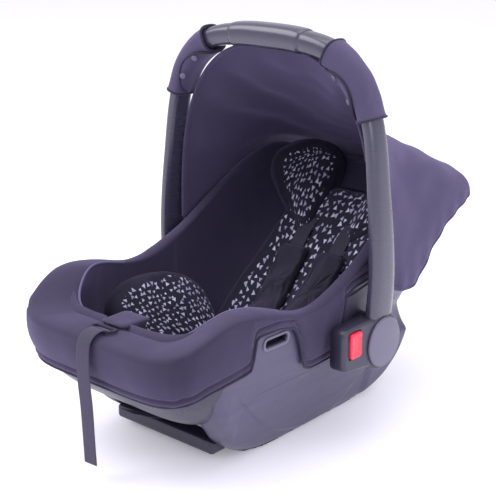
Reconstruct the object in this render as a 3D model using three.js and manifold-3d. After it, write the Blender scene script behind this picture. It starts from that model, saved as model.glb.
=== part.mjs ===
// Infant car seat with a swinging carrying handle, a canopy and a harness.
// Millimetres, +Z up, -Y towards the child's feet, +X towards the child's left.
// The origin is on the floor, below the middle of the seat.
import * as THREE from 'three';
import { mergeVertices } from 'three/addons/utils/BufferGeometryUtils.js';
import { RoundedBoxGeometry } from 'three/addons/geometries/RoundedBoxGeometry.js';
import Module from 'manifold-3d';

const wasm = await Module();
wasm.setup();

// ---------------------------------------------------------------- sizes
// Bucket
const RIM_HALF_WIDTH = 171;
const RIM_HALF_LENGTH = 318;
const SHELL_WALL = 5;
const BUCKET_FLOOR_Z = 34;
const BUCKET_DEEPEST_Y = 20;
const FOOT_SQUARENESS = 6;
const HEAD_SQUARENESS = 3.5;
const BOWL_ROUNDNESS = 2.5;
// Base
const ROCKER_HALF_WIDTH = 124;
const ROCKER_FLARE = 0.27;
const ROCKER_INNER_X = 96;
const ROCKER_WALL = 5;
const CROSS_BAR = { width: 30, height: 20, z: 12 };
const FRONT_BAR_Y = -176;
const REAR_BAR_Y = 158;
// Fabric cover and foam
const COVER_THICK = 6;
const FIT_GAP = 0.8;
const TOUCH_GAP = 0.35;
const LINER_THICK = 14;
const PAD_THICK = 26;
// Handle
const PIVOT_Y = 44;
const PIVOT_Z = 143;
const HANDLE_TOP_Z = 558;
const LEG_X = RIM_HALF_WIDTH + 35;
const LEG_HALF_THICK = 10.5;
const LEG_HALF_DEPTH = 24;
const GRIP_HALF_THICK = 16;
const SLEEVE_THICK = 4;
const HUB = { radius: 43, inner: RIM_HALF_WIDTH + 17, outer: RIM_HALF_WIDTH + 42.4 };
const HUB_CAP = { radius: 37, thick: 6.2 };
const PIN_RADIUS = 8;
const RUNNING_GAP = 0.1;
// Release buttons, in the hub's forward ear
const EAR = { front: -48, low: 119, high: 183, inner: HUB.inner + 2, outer: HUB.outer - 1.4 };
const BUTTON = { y: -24, z: 158, width: 25, height: 38, proud: 5, depth: 12 };
const BUTTON_TRAVEL = 5;
const BUTTON_GAP = 0.4;
// Canopy
const CANOPY_THICK = 4;
const CANOPY_HALF_WIDTH = RIM_HALF_WIDTH + 14;
const CANOPY_FRONT_Y = 48;
const CANOPY_REAR_Y = RIM_HALF_LENGTH + 13;
const CANOPY_TOP_Z = 535;
const CANOPY_REAR_TOP_Z = 336;
const CANOPY_SAG = 12;
const CANOPY_REAR_ROUND = 16;
const CANOPY_REAR_NARROWER = 22;
// Harness
const WEBBING = { width: 38, thick: 1.6 };
const TAIL_WEBBING = { width: 25, thick: 1.6 };
const SHOULDER_X = 42;
const SLOT_Y = 205;
const BUCKLE = { y: -52, width: 58, depth: 24 };
const ADJUSTER_Y = -262;

// ---------------------------------------------------------------- helpers
const root = new THREE.Group();
const colours = {
  shell: 0x3d3a46, cover: 0x2c2938, canopy: 0x4c4757, print: 0x1c1a26, pad: 0x23202c,
  webbing: 0x6b6776, button: 0xd8202e, cap: 0x58555f, foam: 0xd9d8dc, steel: 0xb9bcc2,
};
const finishes = {
  shell: [0.5, 0], cover: [0.95, 0], canopy: [0.9, 0], print: [0.95, 0], pad: [0.9, 0],
  webbing: [0.8, 0], button: [0.35, 0], cap: [0.4, 0], foam: [0.9, 0], steel: [0.3, 1],
};

function add(name, shape, look) {
  const [roughness, metalness] = finishes[look];
  const material = new THREE.MeshStandardMaterial({ color: colours[look], roughness, metalness });
  const mesh = new THREE.Mesh(shape instanceof wasm.Manifold ? toGeometry(shape) : shape, material);
  mesh.name = name;
  root.add(mesh);
  return mesh;
}

function toSolid(geometry) {
  const bare = geometry.clone();
  for (const key of Object.keys(bare.attributes)) if (key !== 'position') bare.deleteAttribute(key);
  const merged = mergeVertices(bare, 1e-4);
  return new wasm.Manifold(new wasm.Mesh({
    numProp: 3,
    vertProperties: new Float32Array(merged.attributes.position.array),
    triVerts: new Uint32Array(merged.index.array),
  }));
}

function toGeometry(solid) {
  const mesh = solid.getMesh();
  const geometry = new THREE.BufferGeometry();
  geometry.setAttribute('position', new THREE.BufferAttribute(mesh.vertProperties, 3));
  geometry.setIndex(new THREE.BufferAttribute(mesh.triVerts, 1));
  return geometry;
}

// Moves every vertex of a geometry to place(vertex).
function reshape(geometry, place) {
  const bare = geometry.clone();
  for (const key of Object.keys(bare.attributes)) if (key !== 'position') bare.deleteAttribute(key);
  const merged = mergeVertices(bare, 1e-5);
  const position = merged.attributes.position;
  const vertex = new THREE.Vector3();
  for (let i = 0; i < position.count; i += 1) {
    vertex.fromBufferAttribute(position, i);
    const moved = place(vertex);
    position.setXYZ(i, moved.x, moved.y, moved.z);
  }
  return merged;
}

// Turns a geometry inside out if its faces point inwards.
function outward(geometry) {
  const solid = toSolid(geometry);
  if (solid.volume() > 0) return geometry;
  const index = geometry.index.array;
  for (let i = 0; i < index.length; i += 3) [index[i], index[i + 1]] = [index[i + 1], index[i]];
  return geometry;
}

// A smooth curve through [x, y] points, read as y at x.
function graph(points) {
  const slope = points.map((p, i) => {
    const a = points[Math.max(0, i - 1)];
    const b = points[Math.min(points.length - 1, i + 1)];
    return (b[1] - a[1]) / (b[0] - a[0]);
  });
  return (x) => {
    const at = THREE.MathUtils.clamp(x, points[0][0], points.at(-1)[0]);
    const i = Math.max(0, Math.min(points.length - 2, points.findIndex((p) => p[0] >= at) - 1));
    const [x0, y0] = points[i];
    const [x1, y1] = points[i + 1];
    const run = x1 - x0;
    const t = (at - x0) / run;
    const rise = (2 * t ** 3 - 3 * t ** 2 + 1) * y0 + (3 * t ** 2 - 2 * t ** 3) * y1;
    return rise + run * ((t ** 3 - 2 * t ** 2 + t) * slope[i] + (t ** 3 - t ** 2) * slope[i + 1]);
  };
}

function roundedBox(size, centre, radius = 2) {
  const geometry = new RoundedBoxGeometry(size[0], size[1], size[2], 1, radius);
  return geometry.translate(centre[0], centre[1], centre[2]);
}

function box(low, high) {
  const size = high.map((v, i) => v - low[i]);
  const geometry = new THREE.BoxGeometry(size[0], size[1], size[2]);
  return geometry.translate(low[0] + size[0] / 2, low[1] + size[1] / 2, low[2] + size[2] / 2);
}

// A cylinder along X between two X values.
function rod(radius, x0, x1, y, z, sides = 32) {
  const geometry = new THREE.CylinderGeometry(radius, radius, Math.abs(x1 - x0), sides);
  return geometry.rotateZ(Math.PI / 2).translate((x0 + x1) / 2, y, z);
}

// A rounded outline in Y and Z, extruded along X.
function plateYZ(low, high, radius, x0, x1) {
  const [w, h] = [high[0] - low[0], high[1] - low[1]];
  const s = new THREE.Shape();
  s.moveTo(radius, 0);
  s.lineTo(w - radius, 0);
  s.absarc(w - radius, radius, radius, -Math.PI / 2, 0);
  s.lineTo(w, h - radius);
  s.absarc(w - radius, h - radius, radius, 0, Math.PI / 2);
  s.lineTo(radius, h);
  s.absarc(radius, h - radius, radius, Math.PI / 2, Math.PI);
  s.lineTo(0, radius);
  s.absarc(radius, radius, radius, Math.PI, 1.5 * Math.PI);
  return extrudeYZ(s, x0, x1).translate(0, low[0], low[1]);
}

function extrudeYZ(shape, x0, x1) {
  const [a, b] = [Math.min(x0, x1), Math.max(x0, x1)];
  const geometry = new THREE.ExtrudeGeometry(shape, { depth: b - a, bevelEnabled: false, curveSegments: 5 });
  const turn = new THREE.Matrix4().set(0, 0, 1, a, 1, 0, 0, 0, 0, 1, 0, 0, 0, 0, 0, 1);
  return geometry.applyMatrix4(turn);
}

// A flat band along a route, or over a stretch of it, lifted off the route by lift.
function ribbon(points, width, thick, segments, { from = 0, to = 1, lift = 0 } = {}) {
  const path = new THREE.CatmullRomCurve3(points.map((p) => new THREE.Vector3(...p)), false, 'centripetal');
  const across = new THREE.Vector3(1, 0, 0);
  const frameAt = (t) => {
    const along = path.getTangentAt(t);
    const side = across.clone().addScaledVector(along, -across.dot(along)).normalize();
    return { side, up: new THREE.Vector3().crossVectors(along, side) };
  };
  const strip = new THREE.BoxGeometry(1, 1, 1, 1, 1, segments);
  return outward(reshape(strip, (v) => {
    const t = from + (v.z + 0.5) * (to - from);
    const { side, up } = frameAt(t);
    return path.getPointAt(t).addScaledVector(side, v.x * width).addScaledVector(up, v.y * thick + lift);
  }));
}

// ---------------------------------------------------------------- the bucket's form
const alongBucket = (points) => graph(points.map(([y, z]) => [y * (RIM_HALF_LENGTH / 318), z]));
const rimZ = alongBucket([[-322, 196], [-225, 233], [-75, 208], [20, 235], [150, 306], [240, 338], [322, 316]]);
// The seat surface rises from the bight to the head end.
const seatRise = alongBucket([[-322, 40], [-200, 6], [-60, 0], [20, 8], [120, 78], [220, 168], [322, 250]]);
const shellFloor = () => BUCKET_FLOOR_Z;
const seatFloor = (y) => BUCKET_FLOOR_Z + SHELL_WALL + seatRise(y);
const BOWL_AROUND = 32;
const BOWL_RINGS = 8;
const LID_RINGS = 3;

function rimPoint(angle, grow) {
  const squareness = Math.sin(angle) < 0 ? FOOT_SQUARENESS : HEAD_SQUARENESS;
  const reach = (Math.abs(Math.cos(angle)) ** squareness + Math.abs(Math.sin(angle)) ** squareness)
    ** (-1 / squareness);
  return [(RIM_HALF_WIDTH + grow) * Math.cos(angle) * reach, (RIM_HALF_LENGTH + grow) * Math.sin(angle) * reach];
}

// A closed volume below the rim: the bowl's surface, moved out by grow, and a lid above the rim.
function bowlVolume(grow, floorAt, lift, straightLid) {
  const rings = BOWL_RINGS + LID_RINGS;
  const sphere = new THREE.SphereGeometry(1, BOWL_AROUND, rings);
  return toSolid(outward(reshape(sphere, (v) => {
    const ring = Math.round((Math.acos(THREE.MathUtils.clamp(v.y, -1, 1)) / Math.PI) * rings);
    const angle = Math.atan2(v.z, v.x);
    const [rimX, rimY] = rimPoint(angle, grow);
    if (ring >= LID_RINGS) {
      const a = ((rings - ring) / BOWL_RINGS) * (Math.PI / 2);
      const out = Math.sin(a) ** (2 / BOWL_ROUNDNESS);
      const up = 1 - Math.cos(a) ** (2 / BOWL_ROUNDNESS);
      const y = BUCKET_DEEPEST_Y + out * (rimY - BUCKET_DEEPEST_Y);
      const low = floorAt(y) - grow;
      const top = rimZ(rimY) + (straightLid ? 0 : lift);
      return new THREE.Vector3(out * rimX, y, low + up * (top - low));
    }
    const out = straightLid ? [0, 0.5, 1][ring] : [0, 0.5, 0.88][ring];
    const z = ring === 0 ? rimZ(0) : rimZ(rimY);
    return new THREE.Vector3(out * rimX, out * rimY, z + lift);
  })));
}

// The height of a bowl's surface at a place in plan.
function bowlZ(x, y, grow, floorAt) {
  let [near, far] = [1e-3, 1];
  for (let i = 0; i < 40; i += 1) {
    const out = (near + far) / 2;
    const u = x / out / (RIM_HALF_WIDTH + grow);
    const v = (BUCKET_DEEPEST_Y + (y - BUCKET_DEEPEST_Y) / out) / (RIM_HALF_LENGTH + grow);
    const squareness = v < 0 ? FOOT_SQUARENESS : HEAD_SQUARENESS;
    if (Math.abs(u) ** squareness + Math.abs(v) ** squareness > 1) near = out;
    else far = out;
  }
  const a = Math.asin(far ** (BOWL_ROUNDNESS / 2));
  const low = floorAt(y) - grow;
  const rimY = BUCKET_DEEPEST_Y + (y - BUCKET_DEEPEST_Y) / far;
  return low + (1 - Math.cos(a) ** (2 / BOWL_ROUNDNESS)) * (rimZ(rimY) - low);
}

const ABOVE = 90;
const shellOuter = bowlVolume(0, shellFloor, 0, false);
const shellInner = bowlVolume(-SHELL_WALL, shellFloor, ABOVE, true);
const coverSkirt = FIT_GAP + COVER_THICK;
const aroundShell = bowlVolume(FIT_GAP, shellFloor, FIT_GAP, false);
const liningOut = -SHELL_WALL - FIT_GAP;
const liningIn = liningOut - COVER_THICK;
const cavity = (inset) => bowlVolume(liningIn - inset, seatFloor, ABOVE, true);
const seatZ = (x, y, inset) => bowlZ(x, y, liningIn - inset, seatFloor);

// ---------------------------------------------------------------- shell and base
const slotAt = (x, y, sizeX, sizeY) => toSolid(box([x - sizeX / 2, y - sizeY / 2, 20], [x + sizeX / 2, y + sizeY / 2, 420]));
const CROTCH_SLOT_Y = BUCKLE.y - 16;
const harnessSlots = [
  slotAt(SHOULDER_X, SLOT_Y, WEBBING.width + 8, 14),
  slotAt(-SHOULDER_X, SLOT_Y, WEBBING.width + 8, 14),
  slotAt(0, CROTCH_SLOT_Y, WEBBING.width + 8, 14),
];

// The belt guides lie in windows in the cover's sides.
const GUIDE = { front: -180, rear: -112, low: 178, high: 203, thick: 5 };
const guideSlot = toSolid(box([-300, GUIDE.front + 14, GUIDE.low + 8], [300, GUIDE.rear - 12, GUIDE.high - 7]));
const TAIL_SLOT = { half: TAIL_WEBBING.width / 2 + 4, front: -307, rear: -270, low: 196 };
const tailSlot = toSolid(box([-TAIL_SLOT.half, TAIL_SLOT.front, TAIL_SLOT.low], [TAIL_SLOT.half, TAIL_SLOT.rear, 300]));

let shell = shellOuter.subtract(shellInner);
for (const slot of harnessSlots) shell = shell.subtract(slot);
shell = shell.subtract(guideSlot);
const shellBody = shell;

function rockerOutline(inset) {
  const s = new THREE.Shape();
  const d = inset;
  s.moveTo(-70, d);
  s.lineTo(70, d);
  s.quadraticCurveTo(150 - d, d, 178 - d, 28 + d);
  s.quadraticCurveTo(204 - d, 52 + d, 206 - d, 90);
  s.lineTo(204 - d, 125 - d);
  s.lineTo(-240 + d, 125 - d);
  s.quadraticCurveTo(-232 + d, 92, -205 + d, 56 + d);
  s.quadraticCurveTo(-176 + d, d, -70, d);
  return s;
}

function rockerSolid(inset, x0, outer) {
  const side = new THREE.ExtrudeGeometry(rockerOutline(inset), { depth: 1, bevelEnabled: false, curveSegments: 6 });
  return toSolid(outward(reshape(side, (v) => {
    const x = v.z < 0.5 ? x0 : outer + ROCKER_FLARE * v.y;
    return new THREE.Vector3(x, v.x, v.y);
  })));
}

const bucketClear = bowlVolume(TOUCH_GAP, shellFloor, TOUCH_GAP, true);
const BOSS_RADIUS = 34;
const bossRoom = toSolid(rod(BOSS_RADIUS + TOUCH_GAP, HUB.inner - 58, HUB.inner + 12, PIVOT_Y, PIVOT_Z, 36));
const rockerBody = rockerSolid(0, ROCKER_INNER_X, ROCKER_HALF_WIDTH)
  .subtract(rockerSolid(ROCKER_WALL, ROCKER_INNER_X - 20, ROCKER_HALF_WIDTH - ROCKER_WALL))
  .subtract(bossRoom);
const sides = [['left', (solid) => solid], ['right', (solid) => solid.mirror([1, 0, 0])]];

add('seat_shell', shellBody, 'shell');
for (const [name, place] of sides) add(`rocker_${name}`, place(rockerBody).subtract(bucketClear), 'shell');

// ---------------------------------------------------------------- belt guides
const guidePlate = toSolid(plateYZ([GUIDE.front, GUIDE.low], [GUIDE.rear, GUIDE.high], 8, 150, RIM_HALF_WIDTH + GUIDE.thick));
for (const [name, place] of sides) {
  add(`belt_guide_${name}`, place(guidePlate).subtract(bucketClear).subtract(guideSlot), 'cap');
}

// ---------------------------------------------------------------- foam and cover
const hem = new THREE.Shape();
hem.moveTo(-420, -20);
hem.lineTo(-420, 136);
hem.lineTo(-330, 136);
hem.quadraticCurveTo(-280, 158, -232, 160);
hem.lineTo(-192, 168);
hem.lineTo(-192, 214);
hem.lineTo(-118, 214);
hem.quadraticCurveTo(-98, 186, -86, 142);
hem.quadraticCurveTo(-78, 128, -60, 128);
hem.lineTo(-12, 128);
hem.quadraticCurveTo(-2, 140, -4, 178);
hem.lineTo(-4, 420);
hem.lineTo(92, 420);
hem.lineTo(92, 236);
hem.quadraticCurveTo(200, 240, 330, 300);
hem.lineTo(420, 300);
hem.lineTo(420, -20);
hem.closePath();
const belowHem = toSolid(extrudeYZ(hem, -260, 260));
const overRim = bowlVolume(coverSkirt, shellFloor, coverSkirt, false);
const lining = bowlVolume(liningOut, seatFloor, ABOVE, true).intersect(overRim).subtract(cavity(0));
const skirt = overRim.subtract(aroundShell).subtract(bowlVolume(liningIn, seatFloor, ABOVE, true)).subtract(belowHem);
const ADJUSTER_POCKET = { half: 24, front: ADJUSTER_Y - 20, rear: ADJUSTER_Y + 34 };
const adjusterPocket = toSolid(box(
  [-ADJUSTER_POCKET.half, ADJUSTER_POCKET.front, 120],
  [ADJUSTER_POCKET.half, ADJUSTER_POCKET.rear, 300],
));
let cover = lining.add(skirt);
for (const slot of harnessSlots) cover = cover.subtract(slot);
// The adjuster's bracket reaches back from the shell's front wall, through the cover.
const BRACKET = { half: 16, low: 190, high: 194, front: -RIM_HALF_LENGTH + SHELL_WALL + 1.6 };
const bracketForm = (grow) => toSolid(box(
  [-BRACKET.half - grow, BRACKET.front - grow, BRACKET.low - grow],
  [BRACKET.half + grow, ADJUSTER_Y - 14 - TOUCH_GAP + grow, BRACKET.high + grow],
));
cover = cover.subtract(adjusterPocket).subtract(tailSlot).subtract(bracketForm(TOUCH_GAP));
add('seat_cover', cover, 'cover');
add('adjuster_bracket', bracketForm(0), 'steel');

const foamBlock = toSolid(box([-140, 60, 30], [140, 305, 330]));
let foam = bowlVolume(-SHELL_WALL - FIT_GAP, shellFloor, 0, false).intersect(foamBlock)
  .subtract(bowlVolume(liningOut + FIT_GAP, seatFloor, ABOVE, true));
for (const slot of harnessSlots) foam = foam.subtract(slot);
add('foam_liner', foam, 'foam');

// ---------------------------------------------------------------- newborn insert and head pillow
const ellipsoid = (centre, radii) => {
  const ball = new THREE.SphereGeometry(1, 24, 14);
  return toSolid(ball.scale(radii[0], radii[1], radii[2]).translate(centre[0], centre[1], centre[2]));
};
const PAD_GAP = 0.8;
const linerZone = toSolid(box([-118, -118, 40], [118, 262, 295]));
let liner = cavity(PAD_GAP).subtract(cavity(PAD_GAP + LINER_THICK)).intersect(linerZone);
for (const slot of harnessSlots) liner = liner.subtract(slot);
add('body_insert', liner, 'print');

const overLiner = PAD_GAP * 2 + LINER_THICK;
const bolsterZone = ellipsoid([128, -72, 118], [46, 106, 78]);
const besideLiner = toSolid(box([-119, -119, 30], [119, 263, 296])).subtract(cavity(overLiner));
const bolsterLayer = cavity(PAD_GAP).subtract(cavity(overLiner + PAD_THICK)).subtract(besideLiner);
for (const [name, place] of sides) {
  const zone = bolsterZone.subtract(toSolid(box([-300, -300, 0], [105, 300, 500])));
  add(`thigh_bolster_${name}`, bolsterLayer.intersect(place(zone)), 'print');
}

const pillowZone = ellipsoid([0, 212, 262], [160, 88, 96]).subtract(ellipsoid([0, 150, 250], [58, 120, 90]));
const pillow = cavity(PAD_GAP).subtract(cavity(overLiner + PAD_THICK)).subtract(besideLiner).intersect(pillowZone)
  .subtract(toSolid(box([-70, 100, 0], [70, 236, 500])));
add('head_pillow', pillow, 'print');

// ---------------------------------------------------------------- harness
const SHOULDER_PAD = { width: 50, thick: 9 };
const PAD_SPAN = { from: 0.55, to: 0.82 };
const YOKE = { z: bowlZ(0, SLOT_Y, 0, shellFloor) - 14, strapX: SHOULDER_X - 4, thick: 3 };
const seatPoint = (x, y, up) => [x, y, seatZ(x, y, overLiner) + up];
const buckleZ = seatZ(0, BUCKLE.y, overLiner) + 34;
for (const [side, name] of [[1, 'left'], [-1, 'right']]) {
  const x = side * SHOULDER_X;
  const route = [
    [side * YOKE.strapX, SLOT_Y - 2, YOKE.z + 5],
    [x, SLOT_Y, YOKE.z + 24],
    [x, SLOT_Y, YOKE.z + 60],
    [x, SLOT_Y, seatZ(x, SLOT_Y, overLiner) + 2],
    seatPoint(side * 40, SLOT_Y - 22, 16),
    seatPoint(side * 36, 120, 17),
    seatPoint(side * 28, 50, 22),
    [side * 18, BUCKLE.y + 46, buckleZ + 24],
    [side * 15, BUCKLE.y + 27, buckleZ + 14],
  ];
  add(`shoulder_strap_${name}`, ribbon(route, WEBBING.width * 0.7, WEBBING.thick, 40), 'webbing');
  const lift = WEBBING.thick / 2 + FIT_GAP + SHOULDER_PAD.thick / 2;
  const pad = ribbon(route, SHOULDER_PAD.width, SHOULDER_PAD.thick, 10, { from: PAD_SPAN.from, to: PAD_SPAN.to, lift });
  add(`shoulder_pad_${name}`, pad, 'pad');
  const lapRoute = [
    [side * 30.5, BUCKLE.y + 24, buckleZ + 6],
    seatPoint(side * 50, BUCKLE.y + 22, 10),
    seatPoint(side * 78, BUCKLE.y + 26, 7),
    seatPoint(side * 92, BUCKLE.y + 30, 5),
  ];
  const lap = new THREE.CatmullRomCurve3(lapRoute.map((p) => new THREE.Vector3(...p)));
  const lapBand = outward(reshape(new THREE.BoxGeometry(1, 1, 1, 10, 1, 1), (v) => {
    const at = lap.getPointAt(v.x + 0.5);
    return new THREE.Vector3(at.x, at.y + v.z * WEBBING.width * 0.7, at.z + v.y * WEBBING.thick);
  }));
  add(`lap_strap_${name}`, lapBand, 'webbing');
}

const buckleGroup = { y: BUCKLE.y, z: buckleZ };
const buckleBody = toSolid(roundedBox([BUCKLE.width, BUCKLE.depth, 46], [0, buckleGroup.y, buckleGroup.z], 7));
const buttonHole = toSolid(box([-12.5, buckleGroup.y - 40, buckleGroup.z - 12], [12.5, buckleGroup.y + 1, buckleGroup.z + 9]));
add('buckle', buckleBody.subtract(buttonHole), 'shell');
const buckleButton = roundedBox([24.2, 9, 20.2], [0, buckleGroup.y - BUCKLE.depth / 2 + 3, buckleGroup.z - 1.5], 2);
add('buckle_button', buckleButton, 'button');
for (const [side, name] of [[1, 'left'], [-1, 'right']]) {
  const tongue = roundedBox([15, 22, 8], [side * 18, buckleGroup.y + BUCKLE.depth / 2 + 11.6, buckleGroup.z + 6], 2);
  add(`buckle_tongue_${name}`, tongue, 'cap');
}
const crotchRoute = [
  [0, CROTCH_SLOT_Y, BUCKET_FLOOR_Z - 0.6],
  [0, CROTCH_SLOT_Y, seatZ(0, CROTCH_SLOT_Y, overLiner) + 1],
  [0, BUCKLE.y - 4, buckleGroup.z - 24.4],
];
add('strap_yoke', roundedBox([2 * YOKE.strapX + 34, 34, YOKE.thick], [0, SLOT_Y - 12, YOKE.z], 1.2), 'steel');
const BELT_END_Y = -286;
const BELT_DROP = 11.5;
const beltRoute = [[0, SLOT_Y - 32, YOKE.z - 6]];
for (let y = 140; y > BELT_END_Y; y -= 40) beltRoute.push([0, y, bowlZ(0, y, 0, shellFloor) - BELT_DROP]);
add('adjuster_belt', ribbon(beltRoute, WEBBING.width * 0.7, WEBBING.thick, 30), 'webbing');
add('crotch_strap', ribbon(crotchRoute, WEBBING.width, WEBBING.thick, 12), 'webbing');
add('crotch_anchor_bar', rod(3, -34, 34, CROTCH_SLOT_Y, BUCKET_FLOOR_Z - 4, 16), 'steel');

// The cross bars let the belt pass under the bucket.
const beltRoom = toSolid(ribbon(beltRoute, WEBBING.width * 0.7 + 4, WEBBING.thick + 2 * FIT_GAP, 30));
for (const [name, y] of [['front_cross_bar', FRONT_BAR_Y], ['rear_cross_bar', REAR_BAR_Y]]) {
  const half = ROCKER_INNER_X - TOUCH_GAP;
  const bar = roundedBox([2 * half, CROSS_BAR.width, CROSS_BAR.height], [0, y, CROSS_BAR.z + CROSS_BAR.height / 2], 4);
  add(name, toSolid(bar).subtract(bucketClear).subtract(beltRoom), 'shell');
}

// ---------------------------------------------------------------- harness adjuster and its strap tail
const lipZ = rimZ(ADJUSTER_Y);
const ADJUSTER = { half: 20, length: 40, height: 16, z: lipZ - 24 };
const adjusterFrame = toSolid(roundedBox(
  [2 * ADJUSTER.half, ADJUSTER.length, ADJUSTER.height],
  [0, ADJUSTER_Y + 6, ADJUSTER.z],
  3,
));
const leverBay = toSolid(box([-13, ADJUSTER_Y - 30, ADJUSTER.z - 3], [13, ADJUSTER_Y + 22, ADJUSTER.z + 30]));
const LEVER_PIN = { y: ADJUSTER_Y + 14, z: ADJUSTER.z + 6, radius: 2 };
add('adjuster_frame', adjusterFrame.subtract(leverBay), 'cap');
const leverPlate = toSolid(roundedBox([25, 34, 5], [0, ADJUSTER_Y + 4, LEVER_PIN.z], 2));
const leverBore = toSolid(rod(LEVER_PIN.radius + RUNNING_GAP, -30, 30, LEVER_PIN.y, LEVER_PIN.z, 20));
add('adjuster_lever', leverPlate.subtract(leverBore), 'cap');
add('adjuster_pin', rod(LEVER_PIN.radius, -12.6, 12.6, LEVER_PIN.y, LEVER_PIN.z, 20), 'steel');

const tailRoute = [
  [0, -283, 200],
  [0, -296, 206],
  [0, -310, 208.8],
  [0, -321, 208],
  [0, -327.8, 201],
  [0, -329, 186],
  [0, -329, 150],
  [0, -329, 110],
  [0, -329, 70],
  [0, -329, 27],
];
add('adjuster_strap', ribbon(tailRoute, TAIL_WEBBING.width, TAIL_WEBBING.thick, 24), 'webbing');

// ---------------------------------------------------------------- handle
const ARCH_STEPS = 46;
const SECTION_SIDES = 16;
const archLeg = [
  [LEG_X - 5, 165], [LEG_X, 237], [LEG_X - 8, 350], [LEG_X * 0.879, 461], [LEG_X * 0.748, 514],
  [LEG_X * 0.544, 545], [LEG_X * 0.282, 556],
];
const archPath = new THREE.CatmullRomCurve3(
  [...archLeg.map(([x, z]) => [-x, z]), [0, HANDLE_TOP_Z], ...archLeg.slice().reverse()]
    .map(([x, z]) => new THREE.Vector3(x, PIVOT_Y, z)),
  false,
  'centripetal',
);
const archSides = Array.from({ length: ARCH_STEPS + 1 }, (_, i) => {
  const t = i / ARCH_STEPS;
  const along = archPath.getTangentAt(t);
  return { at: archPath.getPointAt(t), out: new THREE.Vector3(-along.z, 0, along.x) };
});
const halfThick = graph([[0, GRIP_HALF_THICK], [0.13, GRIP_HALF_THICK - 1], [0.22, LEG_HALF_THICK], [0.5, LEG_HALF_THICK]]);
const halfDepth = graph([[0, 19], [0.14, 19], [0.24, 20], [0.36, LEG_HALF_DEPTH], [0.5, LEG_HALF_DEPTH + 3]]);

// The handle's tube between two of its steps, grown by a margin all round.
function archTube(first, last, grow) {
  const tube = new THREE.CylinderGeometry(1, 1, 1, SECTION_SIDES, last - first);
  return toSolid(outward(reshape(tube, (v) => {
    const step = first + Math.round((v.y + 0.5) * (last - first));
    const { at, out } = archSides[step];
    const fromTop = Math.abs(step / ARCH_STEPS - 0.5);
    const angle = Math.atan2(v.z, v.x);
    const round = (c) => Math.sign(c) * Math.abs(c) ** (2 / 2.7) * Math.hypot(v.x, v.z);
    return at.clone()
      .addScaledVector(out, round(Math.cos(angle)) * (halfThick(fromTop) + grow))
      .add(new THREE.Vector3(0, round(Math.sin(angle)) * (halfDepth(fromTop) + grow), 0));
  })));
}

const sleeveSteps = { first: 13, last: 18 };
const gripSteps = { first: 20, last: 26 };
function archSleeve(first, last, thick) {
  return archTube(first, last, TOUCH_GAP + thick).subtract(archTube(first - 1, last + 1, TOUCH_GAP));
}

const hubAt = (x0, x1, radius, sides = 40) => toSolid(rod(radius, x0, x1, PIVOT_Y, PIVOT_Z, sides));
const earAt = (grow) => toSolid(plateYZ(
  [EAR.front - grow, EAR.low - grow],
  [PIVOT_Y, EAR.high + grow],
  14,
  EAR.inner - grow,
  EAR.outer + grow,
));
const hubForm = (grow) => hubAt(HUB.inner - grow, HUB.outer + grow, HUB.radius + grow).add(earAt(grow));
const buttonBay = (x0) => toSolid(plateYZ(
  [BUTTON.y - BUTTON.width / 2 - BUTTON_GAP, BUTTON.z - BUTTON.height / 2 - BUTTON_GAP],
  [BUTTON.y + BUTTON.width / 2 + BUTTON_GAP, BUTTON.z + BUTTON.height / 2 + BUTTON_GAP],
  5,
  x0,
  EAR.outer + 20,
));
const RING = { outer: 27, x0: HUB.inner + 1, x1: HUB.inner + 10 };
const SPRING = { radius: 6, wall: 1.5, x0: HUB.inner + 5, x1: HUB.inner + 12 };
const pinBore = hubAt(HUB.inner - 38, HUB.outer - 4, PIN_RADIUS + RUNNING_GAP, 32);
const ringBay = hubAt(HUB.inner - 1, RING.x1 + TOUCH_GAP, RING.outer + 1.2);
const hub = hubForm(0).subtract(pinBore).subtract(ringBay).subtract(buttonBay(SPRING.x0 - TOUCH_GAP));
let handle = archTube(0, ARCH_STEPS, 0);
const legSeat = hubForm(TOUCH_GAP).add(hubAt(HUB.inner, HUB.outer + 12, HUB.radius + TOUCH_GAP));
for (const [, place] of sides) handle = handle.subtract(place(legSeat));
add('handle_arch', handle, 'shell');
add('handle_grip', archSleeve(gripSteps.first, gripSteps.last, 1.6), 'cap');

const bossForm = toSolid(rod(BOSS_RADIUS, HUB.inner - 48, HUB.inner - TOUCH_GAP, PIVOT_Y, PIVOT_Z, 36));
const boss = bossForm.subtract(hubAt(HUB.inner - 23, HUB.inner + 42, PIN_RADIUS + TOUCH_GAP, 32));
const pin = hubAt(HUB.inner - 22, HUB.outer - 4 - TOUCH_GAP, PIN_RADIUS, 32);
const star = new THREE.Shape();
const TEETH = 12;
for (let i = 0; i < 4 * TEETH; i += 1) {
  const radius = i % 4 < 2 ? RING.outer : RING.outer - 4;
  const angle = (i / (4 * TEETH)) * 2 * Math.PI;
  const [y, z] = [radius * Math.cos(angle), radius * Math.sin(angle)];
  if (i === 0) star.moveTo(y, z);
  else star.lineTo(y, z);
}
const ring = toSolid(extrudeYZ(star, RING.x0, RING.x1).translate(0, PIVOT_Y, PIVOT_Z))
  .subtract(hubAt(RING.x0 - 5, RING.x1 + 5, PIN_RADIUS + TOUCH_GAP, 32));
const capProfile = [[0, 0], [HUB_CAP.radius, 0], [HUB_CAP.radius, 2.2], [HUB_CAP.radius - 1.6, 4.4],
  [HUB_CAP.radius - 7, 5.6], [0, HUB_CAP.thick]].map(([r, h]) => new THREE.Vector2(r, h));
const capShape = new THREE.LatheGeometry(capProfile, 40).rotateZ(-Math.PI / 2)
  .translate(HUB.outer + TOUCH_GAP, PIVOT_Y, PIVOT_Z);
const buttonBack = EAR.outer + BUTTON.proud - BUTTON.depth - BUTTON_TRAVEL;
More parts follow.
